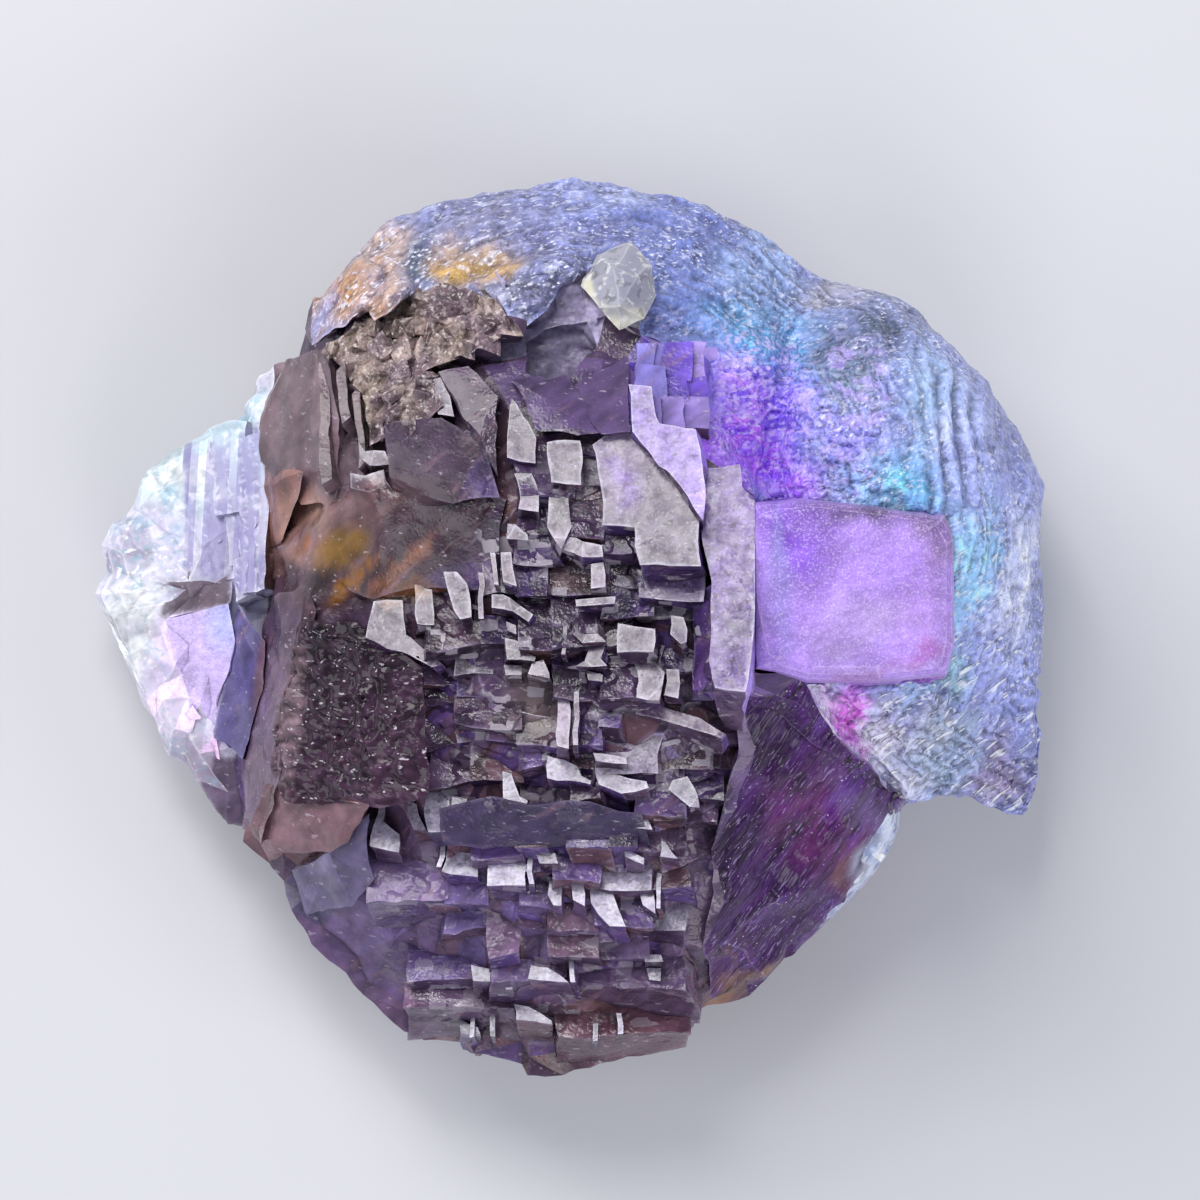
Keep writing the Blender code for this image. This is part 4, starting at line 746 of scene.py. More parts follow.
def onFaces(kind):
    return np.repeat(slotOf == slotNumber[kind], 3)[:, None]


corner = triangles.ravel()
facetAtCorner = np.repeat(facetOf, 3)
warp = noisePair(points / 3.4, 101) * 1.7
warp += noisePair(points / 0.9, 103) * 0.45
spots = (points[:, :2] + warp)[corner]
ragged = (0.8 + 0.45 * layered(points, 1.8, 105, 3))[corner]

# every facet of the dark crystal has a tone of its own
isPolished = facetSlot == slotNumber["polished"]
facetColour = painted(plain("dark", len(facets)), facetMiddle, darkTones)
# painted light and shade by how each facet faces: lighter violet where it faces right, painted shade where it
# faces down the front and where it faces left
paintedLightFacingRight = smooth(0.5, 0.9, facetNormal[:, 0]) * smooth(-4.0, 1.0, facetX) * smooth(-8, -2, facetY)
facetColour = mixed(facetColour, "#6a4c9c", 0.6 * paintedLightFacingRight)
facetColour = mixed(facetColour, "#362c3c", 0.55 * smooth(0.5, 0.9, -facetNormal[:, 1]))
facetColour = mixed(facetColour, "#44364c", 0.6 * smooth(0.5, 0.9, -facetNormal[:, 0]))
for colour, outline in facetTones:
    facetColour = mixed(facetColour, colour, facetsIn(outline) * 0.85)
# painted light on the side walls of the strips, which lie in shade in the narrow gaps between them
stripWalls = [(-18.8, 19.4), (-14.4, 19.4), (-14.2, 9.4), (-18.6, 9.4)]
facetColour = mixed(facetColour, "#94808a", 0.7 * (facetsIn(stripWalls) & (np.abs(facetNormal[:, 0]) > 0.4)))
# painted reflection: the windows left of the plates, and more so those towards the lower end, are made pale
# grey
facetColour = mixed(facetColour, "#7a707e", 0.75 * isPolished * smooth(8.0, 6.0, facetX))
facetColour = mixed(facetColour, "#9490a0", 0.6 * isPolished * smooth(-6.0, -12.0, facetY))

# small facets differ more, at random
chance = np.random.default_rng(fluorite["chance"])
pick = chance.uniform(0, 1, len(facets))
small = smooth(14.0, 6.0, facetArea) * between(facetX, -14.0, -9.0, 11.0, 13.0) * (facetY < 15) * ~isPolished
facetColour = mixed(facetColour, "#64483f", 0.5 * small * (pick < 0.22))
facetColour = mixed(facetColour, "#4e3c74", 0.5 * small * (pick > 0.74))
facetColour = mixed(facetColour, "#1c121f", 0.6 * small * (pick > 0.44) * (pick < 0.60))
plates = facetsIn([(4.2, 14.4), (10.2, 14.4), (10.2, 21.4), (4.2, 21.4)]) & ~isPolished
facetColour = mixed(facetColour, "#6a4cc8", 0.75 * plates * (pick < 0.35))
facetColour = mixed(facetColour, "#8c88d4", 0.7 * plates * (pick > 0.72))
spread = 0.30 / (1 + facetArea / 8.0)
facetColour = shaded(facetColour, 1 + spread * chance.uniform(-1, 1, len(facets)))
brightFacet = chance.uniform(0.86, 1.08, len(facets))
paleFacet = chance.uniform(0.75, 1.15, len(facets))
spun = chance.uniform(0, math.tau, len(facets))
slope = chance.uniform(0.1, 0.42, len(facets)) / np.sqrt(np.maximum(facetArea, 0.5))
leaning = shaded(np.stack([np.cos(spun), np.sin(spun)], axis=1), slope)
facetColour = mixed(facetColour, fluorite["colours"]["recess"], inRecess * 0.95)

# each facet grades across itself, and soft tones lie over them all
tint = facetColour[facetAtCorner]
fromMiddle = (points[corner] - facetMiddle[facetAtCorner])[:, :2]
graded = np.clip((fromMiddle * leaning[facetAtCorner]).sum(axis=1), -0.45, 0.6)
tint = shaded(tint, 1 + graded)
tint = mixed(tint, "#4e3a72", 0.3 * smooth(0.1, 0.5, graded) * smooth(-12.0, 6.0, x[corner]))
tint = mixed(tint, "#6a4440", 0.35 * smooth(0.1, 0.5, graded) * smooth(-6.0, -14.0, x[corner]))
tint = painted(tint, spots, softTones, wear=ragged)
straight = points[:, :2] + 0.25 * noisePair(points / 1.5, 107)
tint = painted(tint, straight[corner], beamTones, 0.5)
grey = tint.mean(axis=1)[:, None]
tint = np.maximum(grey + (tint - grey) * 1.15, 0.0)
# painted light: lighter towards the lower end of the dark crystal, whose faces turn from the lamps
paintedLowerLight = (0.55 + 0.35 * smooth(-16.0, -12.0, x)) * smooth(-1.0, -7.0, y)
paintedLowerLight *= 1 - 0.35 * smooth(-20.0, -24.0, y)
tint = shaded(tint, 1 + paintedLowerLight[corner] * ~onFaces("scratched")[:, 0])
tint = shaded(tint, 0.80 + 0.2 * layered(points, 3.0, 121, 3)[corner])
# painted shade in the pits of the rough face and painted light on its ridges
tint = np.where(onFaces("rough"), shaded(tint, (1 + 0.4 * paintedReliefShading)[corner]), tint)

# etched skins: painted shade in their pits and painted light on their ridges, with tones cube by cube
skinColour = painted(plain("etched", len(corner)), spots, skinTones, wear=ragged)
skinColour = shaded(skinColour, (1 + 0.5 * paintedReliefShading)[corner])
skinColour = shaded(skinColour, (1 + 0.16 * (etchOf - 0.5) * 2)[corner])
# painted light: the small steps beside the crown are made lighter, as they are turned from the lamps
skinColour = shaded(skinColour, (1 + 0.5 * stepped * smooth(15.5, 13.5, x))[corner])
deepSteps = 0.5 * stepped * smooth(17.0, 14.0, x) * smooth(0.30, 0.22, stepOf)
skinColour = mixed(skinColour, "#5c38d0", deepSteps[corner])
skinColour = mixed(skinColour, "#c4b0ff", (0.6 * stepped * smooth(0.74, 0.80, fineOf))[corner])
tint = np.where(onFaces("etched"), skinColour, tint)

sugaryColour = plain("sugary", count)
sugaryColour = mixed(sugaryColour, "#b09c98", smooth(0.1, 0.6, noise(points / 1.1, 111)))
sugaryColour = mixed(sugaryColour, "#443238", smooth(0.1, 0.7, noise(points / 1.6, 112)))
sugaryColour = mixed(sugaryColour, "#948474", smooth(-0.2, 0.5, noise(points / 3.0, 113)) * 0.5)
sugaryColour = shaded(sugaryColour, 1 - 0.2 * smooth(19.5, 17.5, y))
# the sugary crust gets painted shade in its pits and painted light on its ridges
tint = np.where(onFaces("sugary"), shaded(sugaryColour, 1 + 0.3 * paintedReliefShading)[corner], tint)

# the low bright cluster, and a strip of it beside the scratched face
brightColour = painted(plain("bright", len(corner)), spots, brightTones, wear=ragged)
icyShards = 0.55 * chunky * smooth(0.62, 0.8, shardOf) * smooth(4.0, 9.0, y)
brightColour = mixed(brightColour, "#8ec4dc", icyShards[corner])
brightColour = shaded(brightColour, (1 - 0.25 * chunky * smooth(0.4, 0.2, chunkOf))[corner])
for kind, colour, outline in clusterFacets:
    covered = facetsIn(outline)[facetAtCorner] * softlyIn(points, outline, -0.3, 0.1)[corner]
    brightColour = mixed(brightColour, colour, covered * 0.92)
for colour, strength, patch, full, number in clusterGlows:
    glowing = strength * patchShare(points[corner], patch, full)
    brightColour = mixed(brightColour, colour, glowing * facetsIn(clusterFacets[number][2])[facetAtCorner])
# painted shade in the pits of the bright cluster and painted light on its ridges
brightColour = shaded(brightColour, (1 + 0.16 * paintedReliefShading)[corner])
inStrip = np.repeat(inStrip, 3)
# the strip gets painted shade in its pits and painted light on its ridges
stripColour = shaded(plain("strip", len(corner)), (1 + 0.3 * paintedReliefShading)[corner])
brightColour = np.where(inStrip[:, None], stripColour, brightColour)
stripShade = smooth(0.1, 0.5, noise(points / 0.7, 131)) * 0.7
brightColour = mixed(brightColour, "#6c78b4", stripShade[corner] * inStrip)
stripShade = smooth(0.2, 0.5, noise(points / 1.1, 133)) * 0.6
brightColour = mixed(brightColour, "#92828c", stripShade[corner] * inStrip)
clusterColour = shaded(brightColour, brightFacet[facetAtCorner])
cubeColour = painted(plain("frosted", len(corner)), spots, cubeTones, wear=ragged)
tint = np.where(onFaces("frosted"), cubeColour, tint)
tint = np.where((inCluster[facetAtCorner] | inStrip)[:, None], clusterColour, tint)

paleColour = shaded(plain("pale", len(corner)), paleFacet[facetAtCorner])
for colour, strength, patch, start in paleTones:
    paleColour = mixed(paleColour, colour, smooth(start, 0.5, inEllipse(spots, patch)) * strength)
tint = np.where(onFaces("pale"), paleColour, tint)
tint = mixed(tint, fluorite["colours"]["underside"], 0.7 * smooth(6.0, 1.0, z)[corner])
tint = np.clip(tint, 0.0, 0.98)
print("coloured")


# the two faces at each edge of the mesh
def facesBeside():
    ends = np.stack([triangles[:, [0, 1]], triangles[:, [1, 2]], triangles[:, [2, 0]]], axis=1).reshape(-1, 2)
    key = ends.min(axis=1) * count + ends.max(axis=1)
    order = np.argsort(key, kind="stable")
    owner = np.repeat(np.arange(len(triangles)), 3)[order]
    first = np.searchsorted(key[order], edges.min(axis=1) * count + edges.max(axis=1))
    return owner[first], owner[np.minimum(first + 1, len(owner) - 1)]


def lessThan(cosine, degrees):  # turned by more than that angle
    return cosine < math.cos(math.radians(degrees))


def lineValues(chosen):  # 1 at the ends of the chosen edges, for each corner, and less on a whole face
    value = np.zeros(count)
    np.maximum.at(value, edges[chosen].ravel(), 1.0)
    value = value[triangles]
    value[value.sum(axis=1) > 2.5] = 0.4
    return value


# crisp edges where facets meet, and the edges that get painted lines: a painted highlight along convex edges,
# painted shade along concave ones
one, two = facesBeside()
side = points[triangles]
faceNormal = np.cross(side[:, 1] - side[:, 0], side[:, 2] - side[:, 0])
faceNormal /= np.maximum(np.linalg.norm(faceNormal, axis=1), 1e-12)[:, None]
faceMiddle = side.mean(axis=1)
turned = (faceNormal[one] * faceNormal[two]).sum(axis=1)
grown = (facetNormal[facetOf[one]] * facetNormal[facetOf[two]]).sum(axis=1)
stiff = np.maximum(blur[edges[:, 0]], blur[edges[:, 1]]) < 0.5
stiff &= np.minimum(glow[edges[:, 0]], glow[edges[:, 1]]) < 0.3
sharp = lessThan(turned, 48) | (lessThan(grown, 9) & stiff)
convex = ((faceMiddle[two] - faceMiddle[one]) * faceNormal[one]).sum(axis=1) < 0
paintedLineEdges = sharp & stiff & lessThan(grown, 18)
print(f"{int(sharp.sum())} crisp edges")

# where the patterns of the materials lie, from 0 to 1
besideCrown = softlyIn(points, violetOutline, -0.5, 1.5) * smooth(24.0, 19.0, y)
besideCrown *= 1 - 0.8 * smooth(14.0, 18.0, x)
stairs = between(x, -15.0, -12.0, 10.5, 12.0) * smooth(13.0, 8.0, y)
stairs *= smooth(-33.0, -29.0, y) * smooth(9.0, 12.0, z)
stairs *= 1 - smooth(1.5, 3.0, y) * smooth(-6.0, -7.5, x)
stairs *= 1 - 0.45 * smooth(-14.0, -18.0, y)
stairs *= 1 - 0.9 * between(y, -16.6, -15.9, -12.9, -12.2) * smooth(6.0, 5.2, x)  # none on the dark band
creases = smooth(-1.0, -4.5, y) * share["rounded"] + 0.8 * smooth(26.5, 28.0, x) * smooth(9.0, 4.0, y)
creases = np.clip(creases, 0, 1) * (1 - cubeShare) * smooth(3.0, 6.0, z)
angle, distance = aroundCentre()
growthLines = np.stack([angle * 26.0 / 2.4, distance / 0.5, z / 2.4], axis=1)

attributes = [  # name, type, domain, what is set, values
    ("paintedEdgeHighlight", "FLOAT", "CORNER", "value", lineValues(paintedLineEdges & convex)),
    ("paintedCreaseShade", "FLOAT", "CORNER", "value", lineValues(paintedLineEdges & ~convex)),
    ("terraced", "FLOAT", "POINT", "value", terraced),
    ("steps", "FLOAT", "POINT", "value", besideCrown),
    ("creases", "FLOAT", "POINT", "value", creases),
    ("stairs", "FLOAT", "POINT", "value", stairs),
    ("growth", "FLOAT_VECTOR", "POINT", "vector", growthLines),
]
mesh.vertices.foreach_set("co", (points * mm).ravel())
mesh.polygons.foreach_set("material_index", slotOf.astype(np.int32))
mesh.polygons.foreach_set("use_smooth", np.ones(len(triangles), bool))
layer = mesh.color_attributes.new("tint", "FLOAT_COLOR", "CORNER")
layer.data.foreach_set("color", np.concatenate([tint, np.ones((len(tint), 1))], axis=1).ravel())
for name, kind, domain, what, values in attributes:
    mesh.attributes.new(name, kind, domain).data.foreach_set(what, values.ravel())
mesh.attributes.remove(mesh.attributes["facet"])
mesh.update()
crisp = mesh.attributes.get("sharp_edge") or mesh.attributes.new("sharp_edge", "BOOLEAN", "EDGE")
crisp.data.foreach_set("value", sharp)
specimen = bpy.data.objects.new("fluorite_crystals", mesh)
bpy.context.scene.collection.objects.link(specimen)
print("piece made")


# adds a node with its settings and links, and gives one of its outputs
def addNode(tree, kind, inputs=None, output=0, **settings):
    made = tree.nodes.new("ShaderNode" + kind)
    for key, value in settings.items():
        setattr(made, key, value)
    for key, value in (inputs or {}).items():
        if isinstance(value, bpy.types.NodeSocket):
            tree.links.new(value, made.inputs[key])
        else:
            made.inputs[key].default_value = value
    return made.outputs[output]


# an irregular grain with features of that size in mm; stretch is a turn in degrees and a length for each axis
def grain(tree, size, stretch=None, detail=2.0):
    where = addNode(tree, "TexCoord", output="Object")
    if stretch:
        turned = (0.0, 0.0, math.radians(stretch[0]))
        where = addNode(tree, "Mapping", {"Vector": where, "Rotation": turned, "Scale": stretch[1]},
                        vector_type="TEXTURE")
    return addNode(tree, "TexNoise", {"Vector": where, "Scale": 1.0 / (size * mm), "Detail": detail}, "Fac")


# the grain between two of its levels, as a mask that goes from one strength to another
def grainMask(tree, size, low, high, strength=(0.0, 1.0), stretch=None, detail=2.0):
    return addNode(tree, "MapRange", {"Value": grain(tree, size, stretch, detail), "From Min": low,
                                      "From Max": high, "To Min": strength[0], "To Max": strength[1]})


# the same from an attribute of the piece, which says where a pattern lies
def placeMask(tree, name, low, high, strength):
    place = addNode(tree, "Attribute", output="Fac", attribute_name=name)
    return addNode(tree, "MapRange", {"Value": place, "From Min": low, "From Max": high,
                                      "To Min": strength[0], "To Max": strength[1]})


def together(tree, first, *others):  # where all the masks are strong
    for mask in others:
        first = addNode(tree, "Math", {0: first, 1: mask}, operation="MULTIPLY")
    return first


def overlay(tree, below, colour, *masks):  # a colour over the one below it, where the masks are
    return addNode(tree, "Mix", {0: together(tree, *masks), 6: below, 7: (*linear(colour), 1.0)}, 2,
                   data_type="RGBA")


# painted glints (the dashes) and painted shade in pits on the small steps, growth lines, and pale creases
# painted as highlights along their ridges, on an etched skin
def growthMarks(tree, colour, marks):
    onSteps = addNode(tree, "Attribute", output="Fac", attribute_name="steps")
    inCreases = addNode(tree, "Attribute", output="Fac", attribute_name="creases")
    alongGrowth = addNode(tree, "Attribute", output="Vector", attribute_name="growth")
    lines = addNode(tree, "TexNoise", {"Vector": alongGrowth, "Scale": 1.0, "Detail": 1.0}, "Fac")
    for mark in ("dashes", "pits"):
        size, low, high, strength, shade = marks[mark]
        patch = grainMask(tree, size, low, high, (0.0, strength), dashed, 1.0)
        colour = overlay(tree, colour, shade, patch, onSteps)
    size, low, high, strength, shade = marks["creases"]
    ridge = together(tree, grainMask(tree, size, low, high, stretch=creased, detail=1.0), inCreases,
                     grainMask(tree, 2.4, 0.40, 0.52))
    colour = overlay(tree, colour, shade, ridge, strength)
    return colour, [(lines, marks["lineHeight"]), (ridge, marks["creaseHeight"])]


# straight strips of different shades, on the upright terraces
def terraceStrips(tree, colour, strips):
    where = addNode(tree, "TexCoord", output="Object")
    where = addNode(tree, "Mapping", {"Vector": where, "Rotation": (0.0, 0.0, 0.05)})
    across = addNode(tree, "SeparateXYZ", {"Vector": where}, "X")
    across = addNode(tree, "Math", {0: across, 1: strips["perMm"] / mm}, operation="MULTIPLY")
    number = addNode(tree, "Math", {0: across}, operation="FLOOR")
    shade = addNode(tree, "TexWhiteNoise", {"W": number}, "Value", noise_dimensions="1D")
    onTerraces = addNode(tree, "Attribute", output="Fac", attribute_name="terraced")
    for low, high, strip in strips["shades"]:
        chosen = addNode(tree, "MapRange", {"Value": shade, "From Min": low, "From Max": high,
                                            "To Min": 0.0, "To Max": strips["strength"]})
        worn = grainMask(tree, 2.6, 0.30, 0.55, (0.25, 1.0))
        colour = overlay(tree, colour, strip, chosen, onTerraces, worn)
    return colour


# finer steps than the mesh has, as square cells with bright tops painted as their reflection and painted
# shade in their hollows
def fineStairs(tree, colour, stairs):
    where = addNode(tree, "TexCoord", output="Object")
    where = addNode(tree, "Mapping", {"Vector": where, "Rotation": (0.32, 0.0, 0.04),
                                      "Scale": (0.85, 1.25, 1.0)})
    cells = addNode(tree, "TexVoronoi", {"Vector": where, "Scale": stairs["perMm"] / mm, "Randomness": 0.6},
                    "Color", distance="CHEBYCHEV")
    onStairs = addNode(tree, "Attribute", output="Fac", attribute_name="stairs")
    share = together(tree, onStairs, grainMask(tree, 2.8, 0.44, 0.50))
    for low, high, strength, shade in stairs["shades"]:
        chosen = addNode(tree, "MapRange", {"Value": cells, "From Min": low, "From Max": high})
        colour = overlay(tree, colour, shade, chosen, share, strength)
    return colour, [(together(tree, cells, share), stairs["height"])]


# each stretch is the turn of the long axis in degrees, and the length of the features along each axis
diagonal = (56, (7.0, 1.0, 2.0))
level = (-6, (2.4, 1.0, 1.4))
dashed = (3, (2.2, 1.0, 1.3))
streaked = (42, (6.0, 1.0, 1.8))
rising = (20, (1.7, 1.0, 1.2))
creased = (36, (7.0, 1.0, 2.0))

# Finishes of the fluorite. rough: two values and the size of their grain. bumps: size, height, stretch.
# mottle: size, strength, stretch. flecks: size, two levels, colour, strength, stretch; some are painted
# glints. edge lines: colours of the painted highlight along convex edges and the painted shade along concave
# ones, and their strengths. patchy: size of the patches that flecks come in. All sizes are in mm.
# The real etch grain and striations are finer than these and wouldn't show, so they are drawn coarser.
finishes = {
    # skin etched by later fluids: a satin grain that glitters in points and hides the inside; its light
    # flecks are painted glints
    "etched": dict(rough=(0.16, 0.34, 1.5), patchy=3.2, bumps=[(0.8, 0.30, rising), (0.32, 0.18, None)],
                   flecks=[(1.1, 0.44, 0.34, "#3c3c78", 0.3, rising),
                           (0.7, 0.58, 0.66, "#e4e8ff", 0.32, rising),
                           (0.28, 0.57, 0.66, "#eceeff", 0.62, rising),
                           (0.45, 0.44, 0.32, "#2e2e58", 0.5, rising)],
                   growth=dict(lineHeight=0.16, creaseHeight=0.12, dashes=(0.34, 0.53, 0.58, 0.8, "#dec8ff"),
                               pits=(0.5, 0.42, 0.36, 0.28, "#4c2cb4"),
                               creases=(0.34, 0.585, 0.65, 0.75, "#f4f8ff"))),
    # faces as they grew: glossy, almost black in their depth, with a painted highlight along edges, painted
    # shade in creases, and painted glints (pale flecks)
    "dark": dict(rough=(0.12, 0.30, 1.2), bumps=[(1.1, 0.10, level), (0.25, 0.03, None)], clear=0.12,
                 flecks=[(0.9, 0.60, 0.74, "#8a6a78", 0.5, streaked),
                         (0.35, 0.66, 0.72, "#c8bccc", 0.45, level)],
                 mottle=[(1.6, 0.22, None), (1.0, 0.25, streaked)], paintedEdgeLines=("#a898bc", "#120a18", 0.20, 0.4),
                 stairs=dict(perMm=0.95, height=0.36,
                             shades=[(0.74, 0.76, 0.75, "#a8a0ac"), (0.36, 0.34, 0.6, "#1a1020")])),
    # cube faces as they grew, flat enough to mirror the light: pale windows, partly a painted reflection,
    # with a painted highlight along their rim
    "polished": dict(rough=(0.12, 0.30, 0.9), specular=0.46,
                     bumps=[(2.4, 0.17, None), (0.5, 0.02, None), (0.2, 0.008, None)],
                     flecks=[(0.45, 0.58, 0.66, "#2a1c30", 0.5, rising),
                             (0.22, 0.58, 0.70, "#e6e2ee", 0.22, None)],
                     mottle=[(0.25, 0.28, None), (0.7, 0.24, None), (2.4, 0.16, None)],
                     paintedEdgeLines=("#d0cadc", "#140c1a", 0.34, 0.5)),
    # a cube frosted by fine etching: a soft lilac glow, and no mirror image; a painted highlight along its
    # edges and painted shade in its creases
    "frosted": dict(rough=(0.26, 0.42, 1.0), bumps=[(0.8, 0.04, None), (0.22, 0.05, None)],
                    flecks=[(0.16, 0.52, 0.66, "#eadcff", 0.30, None),
                            (0.2, 0.46, 0.32, "#6c4ca8", 0.25, None)],
                    mottle=[(0.5, 0.14, rising), (2.5, 0.2, None)], paintedEdgeLines=("#e4d0f4", "#3c2450", 0.25, 0.3)),
    # clean cleaved crystal: icy, partly clear and very glossy, with a painted highlight along its edges and
    # painted shade in its creases
    "bright": dict(rough=(0.08, 0.24, 1.0), clear=0.2, bumps=[(1.0, 0.10, None), (0.35, 0.03, None)],
                   flecks=[(0.5, 0.45, 0.35, "#94bccc", 0.55, rising),
                           (1.2, 0.42, 0.32, "#a4c4dc", 0.4, None),
                           (0.45, 0.58, 0.66, "#ffffff", 0.7, rising)], patchy=3.4,
                   paintedEdgeLines=("#ffffff", "#7c74a0", 0.35, 0.15),
                   strips=dict(perMm=1.7, strength=0.65,
                               shades=[(0.50, 0.52, "#9c94c8"), (0.84, 0.86, "#7a72ac"),
                                       (0.22, 0.20, "#f4f2ff")])),
    # a small crystal that grew clear: glassy, with a few white veils, a painted highlight along its edges and
    # painted shade in its creases
    "pale": dict(rough=(0.06, 0.2, 1.0), clear=0.35, bumps=[(0.9, 0.15, None)],
                 flecks=[(0.7, 0.57, 0.64, "#ffffff", 0.6, None), (0.9, 0.44, 0.36, "#57535c", 0.45, None)],
                 paintedEdgeLines=("#ffffff", "#3a3640", 0.3, 0.3)),
    # a face pitted by etching: dark scales with sharp glints, partly from its gloss and partly painted as
    # light flecks
    "rough": dict(rough=(0.12, 0.24, 0.8), specular=0.4, bumps=[(0.75, 0.24, level), (0.4, 0.06, level)],
                  mottle=[(1.6, 0.5, None)], flecks=[(0.3, 0.665, 0.70, "#c4b8c4", 0.8, level)]),
    # a large face with growth striations: dark, with fine slanting scratches, a painted highlight along its
    # edges and painted shade in its creases
    "scratched": dict(rough=(0.10, 0.24, 0.9), specular=0.36, patchy=3.0,
                      bumps=[(0.5, 0.13, diagonal), (0.2, 0.07, diagonal)],
                      flecks=[(1.2, 0.46, 0.34, "#1c0a26", 0.65, diagonal),
                              (1.3, 0.58, 0.70, "#6a3c9c", 0.45, diagonal),
                              (0.34, 0.45, 0.36, "#140818", 0.75, diagonal),
                              (0.16, 0.60, 0.69, "#b09acc", 0.46, diagonal),
                              (0.26, 0.70, 0.73, "#dcd2ea", 0.7, None)],
                      mottle=[(1.8, 0.3, None)], paintedEdgeLines=("#a594ba", "#140c1a", 0.2, 0.5)),
    # broken walls of the hollow: dull and grey
    "recess": dict(rough=(0.26, 0.45, 1.0), specular=0.4, bumps=[(0.8, 0.16, None), (0.3, 0.05, None)],
                   mottle=[(1.0, 0.3, None), (0.35, 0.2, None)]),
    # a crust of tiny crystals: sugary, each grain with a glint, painted as a light fleck
    "sugary": dict(rough=(0.10, 0.30, 0.7), bumps=[(0.6, 0.25, None), (0.25, 0.1, None)],
                   flecks=[(0.4, 0.56, 0.66, "#dcd0cc", 0.6, None), (0.5, 0.44, 0.34, "#30242c", 0.6, None)]),
}


def crystalMaterial(kind):
    finish = finishes[kind]
    material = bpy.data.materials.new(f"fluorite {kind}")
    material.use_nodes = True
    tree = material.node_tree
    shader = tree.nodes["Principled BSDF"]
    shader.inputs["IOR"].default_value = fluorite["ior"]
    shader.inputs["Transmission Weight"].default_value = finish.get("clear", 0.0)
    shader.inputs["Specular IOR Level"].default_value = finish.get("specular", 0.5)
    colour = addNode(tree, "Attribute", output="Color", attribute_name="tint")
    for size, strength, stretch in finish.get("mottle", []):
        shade = grainMask(tree, size, 0.3, 0.7, (1 - strength, 1 + strength), stretch)
        colour = addNode(tree, "Mix", {0: 1.0, 6: colour, 7: shade}, 2, data_type="RGBA",
                         blend_type="MULTIPLY")

    fading = []  # masks that thin out the flecks
    if "patchy" in finish:
        fading.append(grainMask(tree, finish["patchy"], 0.35, 0.65, (0.25, 1.3)))
    if "strips" in finish:
        fading.append(placeMask(tree, "terraced", 0.0, 1.0, (1.0, 0.3)))
    if "growth" in finish:
        fading.append(placeMask(tree, "steps", 0.0, 1.0, (1.0, 0.4)))
    for size, low, high, fleck, strength, stretch in finish.get("flecks", []):
        spotted = grainMask(tree, size, low, high, (0.0, strength), stretch)
        colour = overlay(tree, colour, fleck, spotted, *fading)
    # a painted highlight along convex edges and painted shade along concave ones, the highlight stronger on
    # the fine stairs
    if "paintedEdgeLines" in finish:
        light, dark, lightStrength, darkStrength = finish["paintedEdgeLines"]
        masks = [placeMask(tree, "paintedEdgeHighlight", 0.62, 0.95, (0.0, lightStrength))]
        if "stairs" in finish:
            masks.append(placeMask(tree, "stairs", 0.0, 1.0, (0.4, 1.6)))
        colour = overlay(tree, colour, light, *masks)
        colour = overlay(tree, colour, dark, placeMask(tree, "paintedCreaseShade", 0.5, 0.95, (0.0, darkStrength)))

    heights = [(grain(tree, size, stretch, 1.0), height) for size, height, stretch in finish["bumps"]]
    if "growth" in finish:
        colour, more = growthMarks(tree, colour, finish["growth"])
        heights += more
    if "strips" in finish:
        colour = terraceStrips(tree, colour, finish["strips"])
    if "stairs" in finish:
        colour, more = fineStairs(tree, colour, finish["stairs"])
        heights += more
    tree.links.new(colour, shader.inputs["Base Color"])
    low, high, size = finish["rough"]
    tree.links.new(grainMask(tree, size, 0.35, 0.65, (low, high)), shader.inputs["Roughness"])
    normal = {}
    for value, height in heights:
        bump = {"Height": value, "Distance": height * mm, "Strength": 1.0}
        normal = {"Normal": addNode(tree, "Bump", {**bump, **normal}, "Normal")}
    tree.links.new(normal["Normal"], shader.inputs["Normal"])
    return material


for name in slots:
    specimen.data.materials.append(crystalMaterial(name))
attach(specimen, "root")
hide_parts(nodeName)
print("materials made")

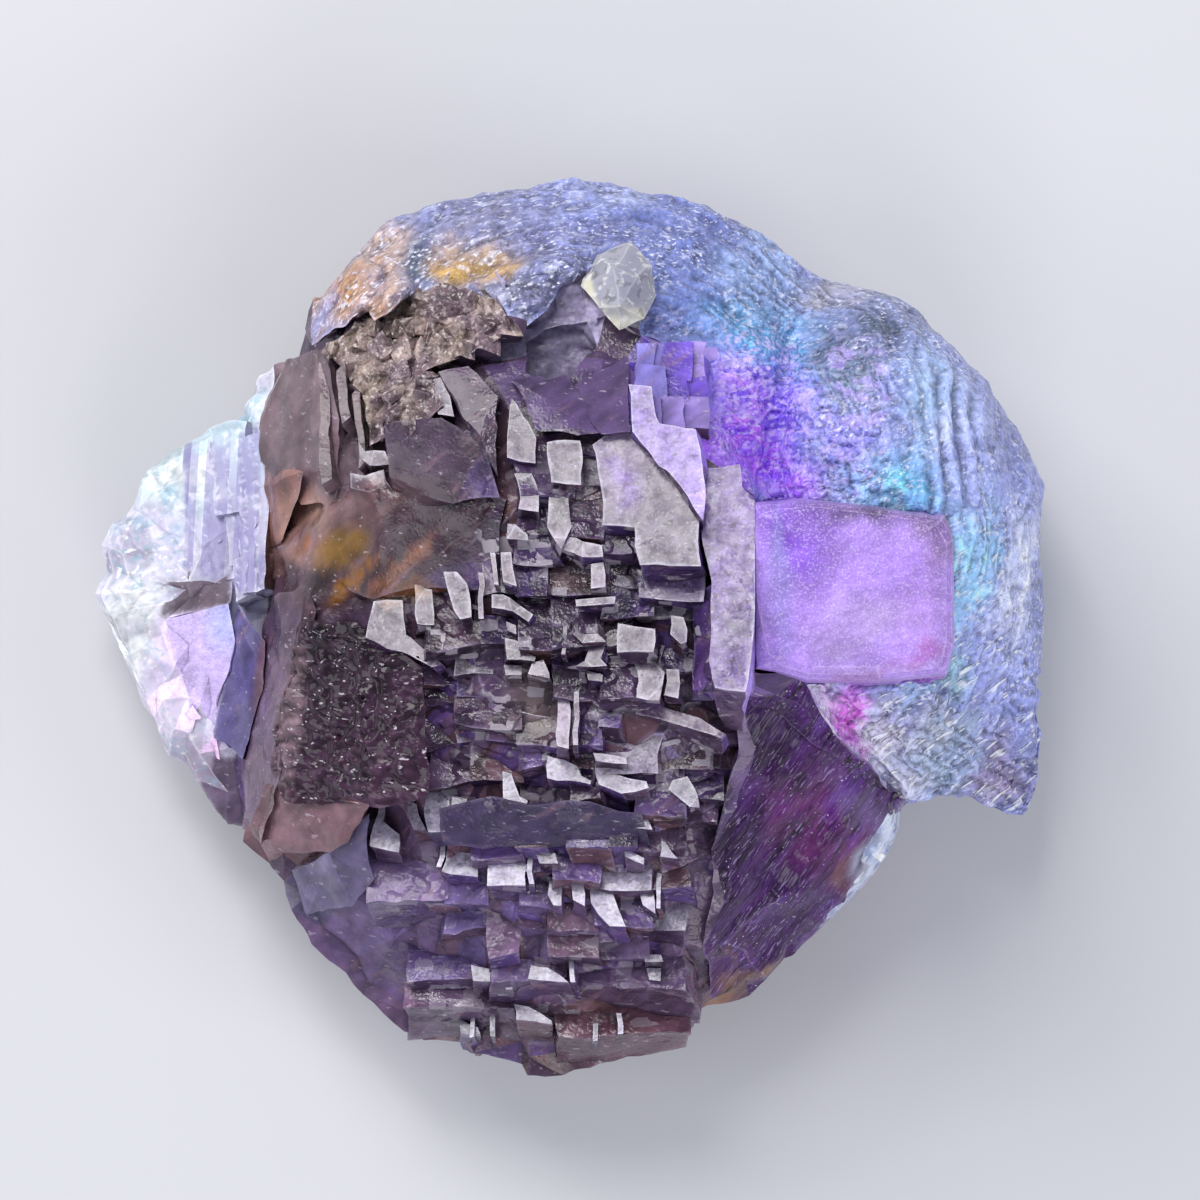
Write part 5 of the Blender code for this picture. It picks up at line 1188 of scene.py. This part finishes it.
# what a user would change on the stage
studio = {
    "floor": dict(size=4.0, colour="#c8c8cc", roughness=0.9),  # metres; a sheet of matt card
    "sky": dict(colour=(0.82, 0.87, 1.0, 1.0), strength=0.4),
    "aim": (0.0, 0.0, 18.0),  # where the lights point, in mm
    "lights": [  # name, direction, distance and side in metres, radiance, colour
        ("key", (-0.133, 0.585, 0.801), 0.6, 0.18, 12.5, (1.0, 0.99, 0.98)),
        ("top light", (-0.55, 0.75, 0.55), 0.6, 0.34, 7.0, (1.0, 0.99, 0.97)),
        ("left fill", (-0.85, -0.1, 0.5), 0.65, 0.35, 2.6, (0.96, 0.98, 1.0)),
        ("right fill", (0.8, -0.35, 0.5), 0.65, 0.35, 3.9, (0.96, 0.98, 1.0)),
        ("front fill", (0.15, -0.85, 0.5), 0.65, 0.35, 3.6, (1.0, 0.98, 1.0)),
    ],
    "camera": dict(lens=400.0, sensor=36.0, width=88.2, over=(1.91, 2.06), focus=11.0),  # millimetres
}


def softBox(name, direction, distance, side, radiance, colour):
    light = bpy.data.lights.new(name, "AREA")
    light.shape = "SQUARE"
    light.size = side
    light.energy = radiance * math.pi * side * side
    light.color = colour
    lamp = bpy.data.objects.new(name, light)
    lamp.location = Vector(studio["aim"]) * mm + Vector(direction).normalized() * distance
    lamp.rotation_euler = Vector(direction).to_track_quat("Z", "Y").to_euler()
    bpy.context.scene.collection.objects.link(lamp)


bpy.ops.mesh.primitive_plane_add(size=studio["floor"]["size"])
floor = bpy.context.object
floor.name = "floor"
card = bpy.data.materials.new("plain card")
card.use_nodes = True
shader = card.node_tree.nodes["Principled BSDF"]
shader.inputs["Base Color"].default_value = (*linear(studio["floor"]["colour"]), 1.0)
shader.inputs["Roughness"].default_value = studio["floor"]["roughness"]
floor.data.materials.append(card)

for light in studio["lights"]:
    softBox(*light)
world = bpy.data.worlds.new("studio")
world.use_nodes = True
world.node_tree.nodes["Background"].inputs["Color"].default_value = studio["sky"]["colour"]
world.node_tree.nodes["Background"].inputs["Strength"].default_value = studio["sky"]["strength"]
bpy.context.scene.world = world
bpy.context.scene.view_settings.view_transform = "Standard"

view = studio["camera"]
camera = bpy.data.cameras.new("camera")
camera.lens = view["lens"]
camera.sensor_width = view["sensor"]
camera.clip_end = 10.0
eye = bpy.data.objects.new("camera", camera)
rise = view["focus"] + view["width"] * view["lens"] / view["sensor"]  # straight above the specimen
eye.location = (view["over"][0] * mm, view["over"][1] * mm, rise * mm)
bpy.context.scene.collection.objects.link(eye)
bpy.context.scene.camera = eye
print("stage set")
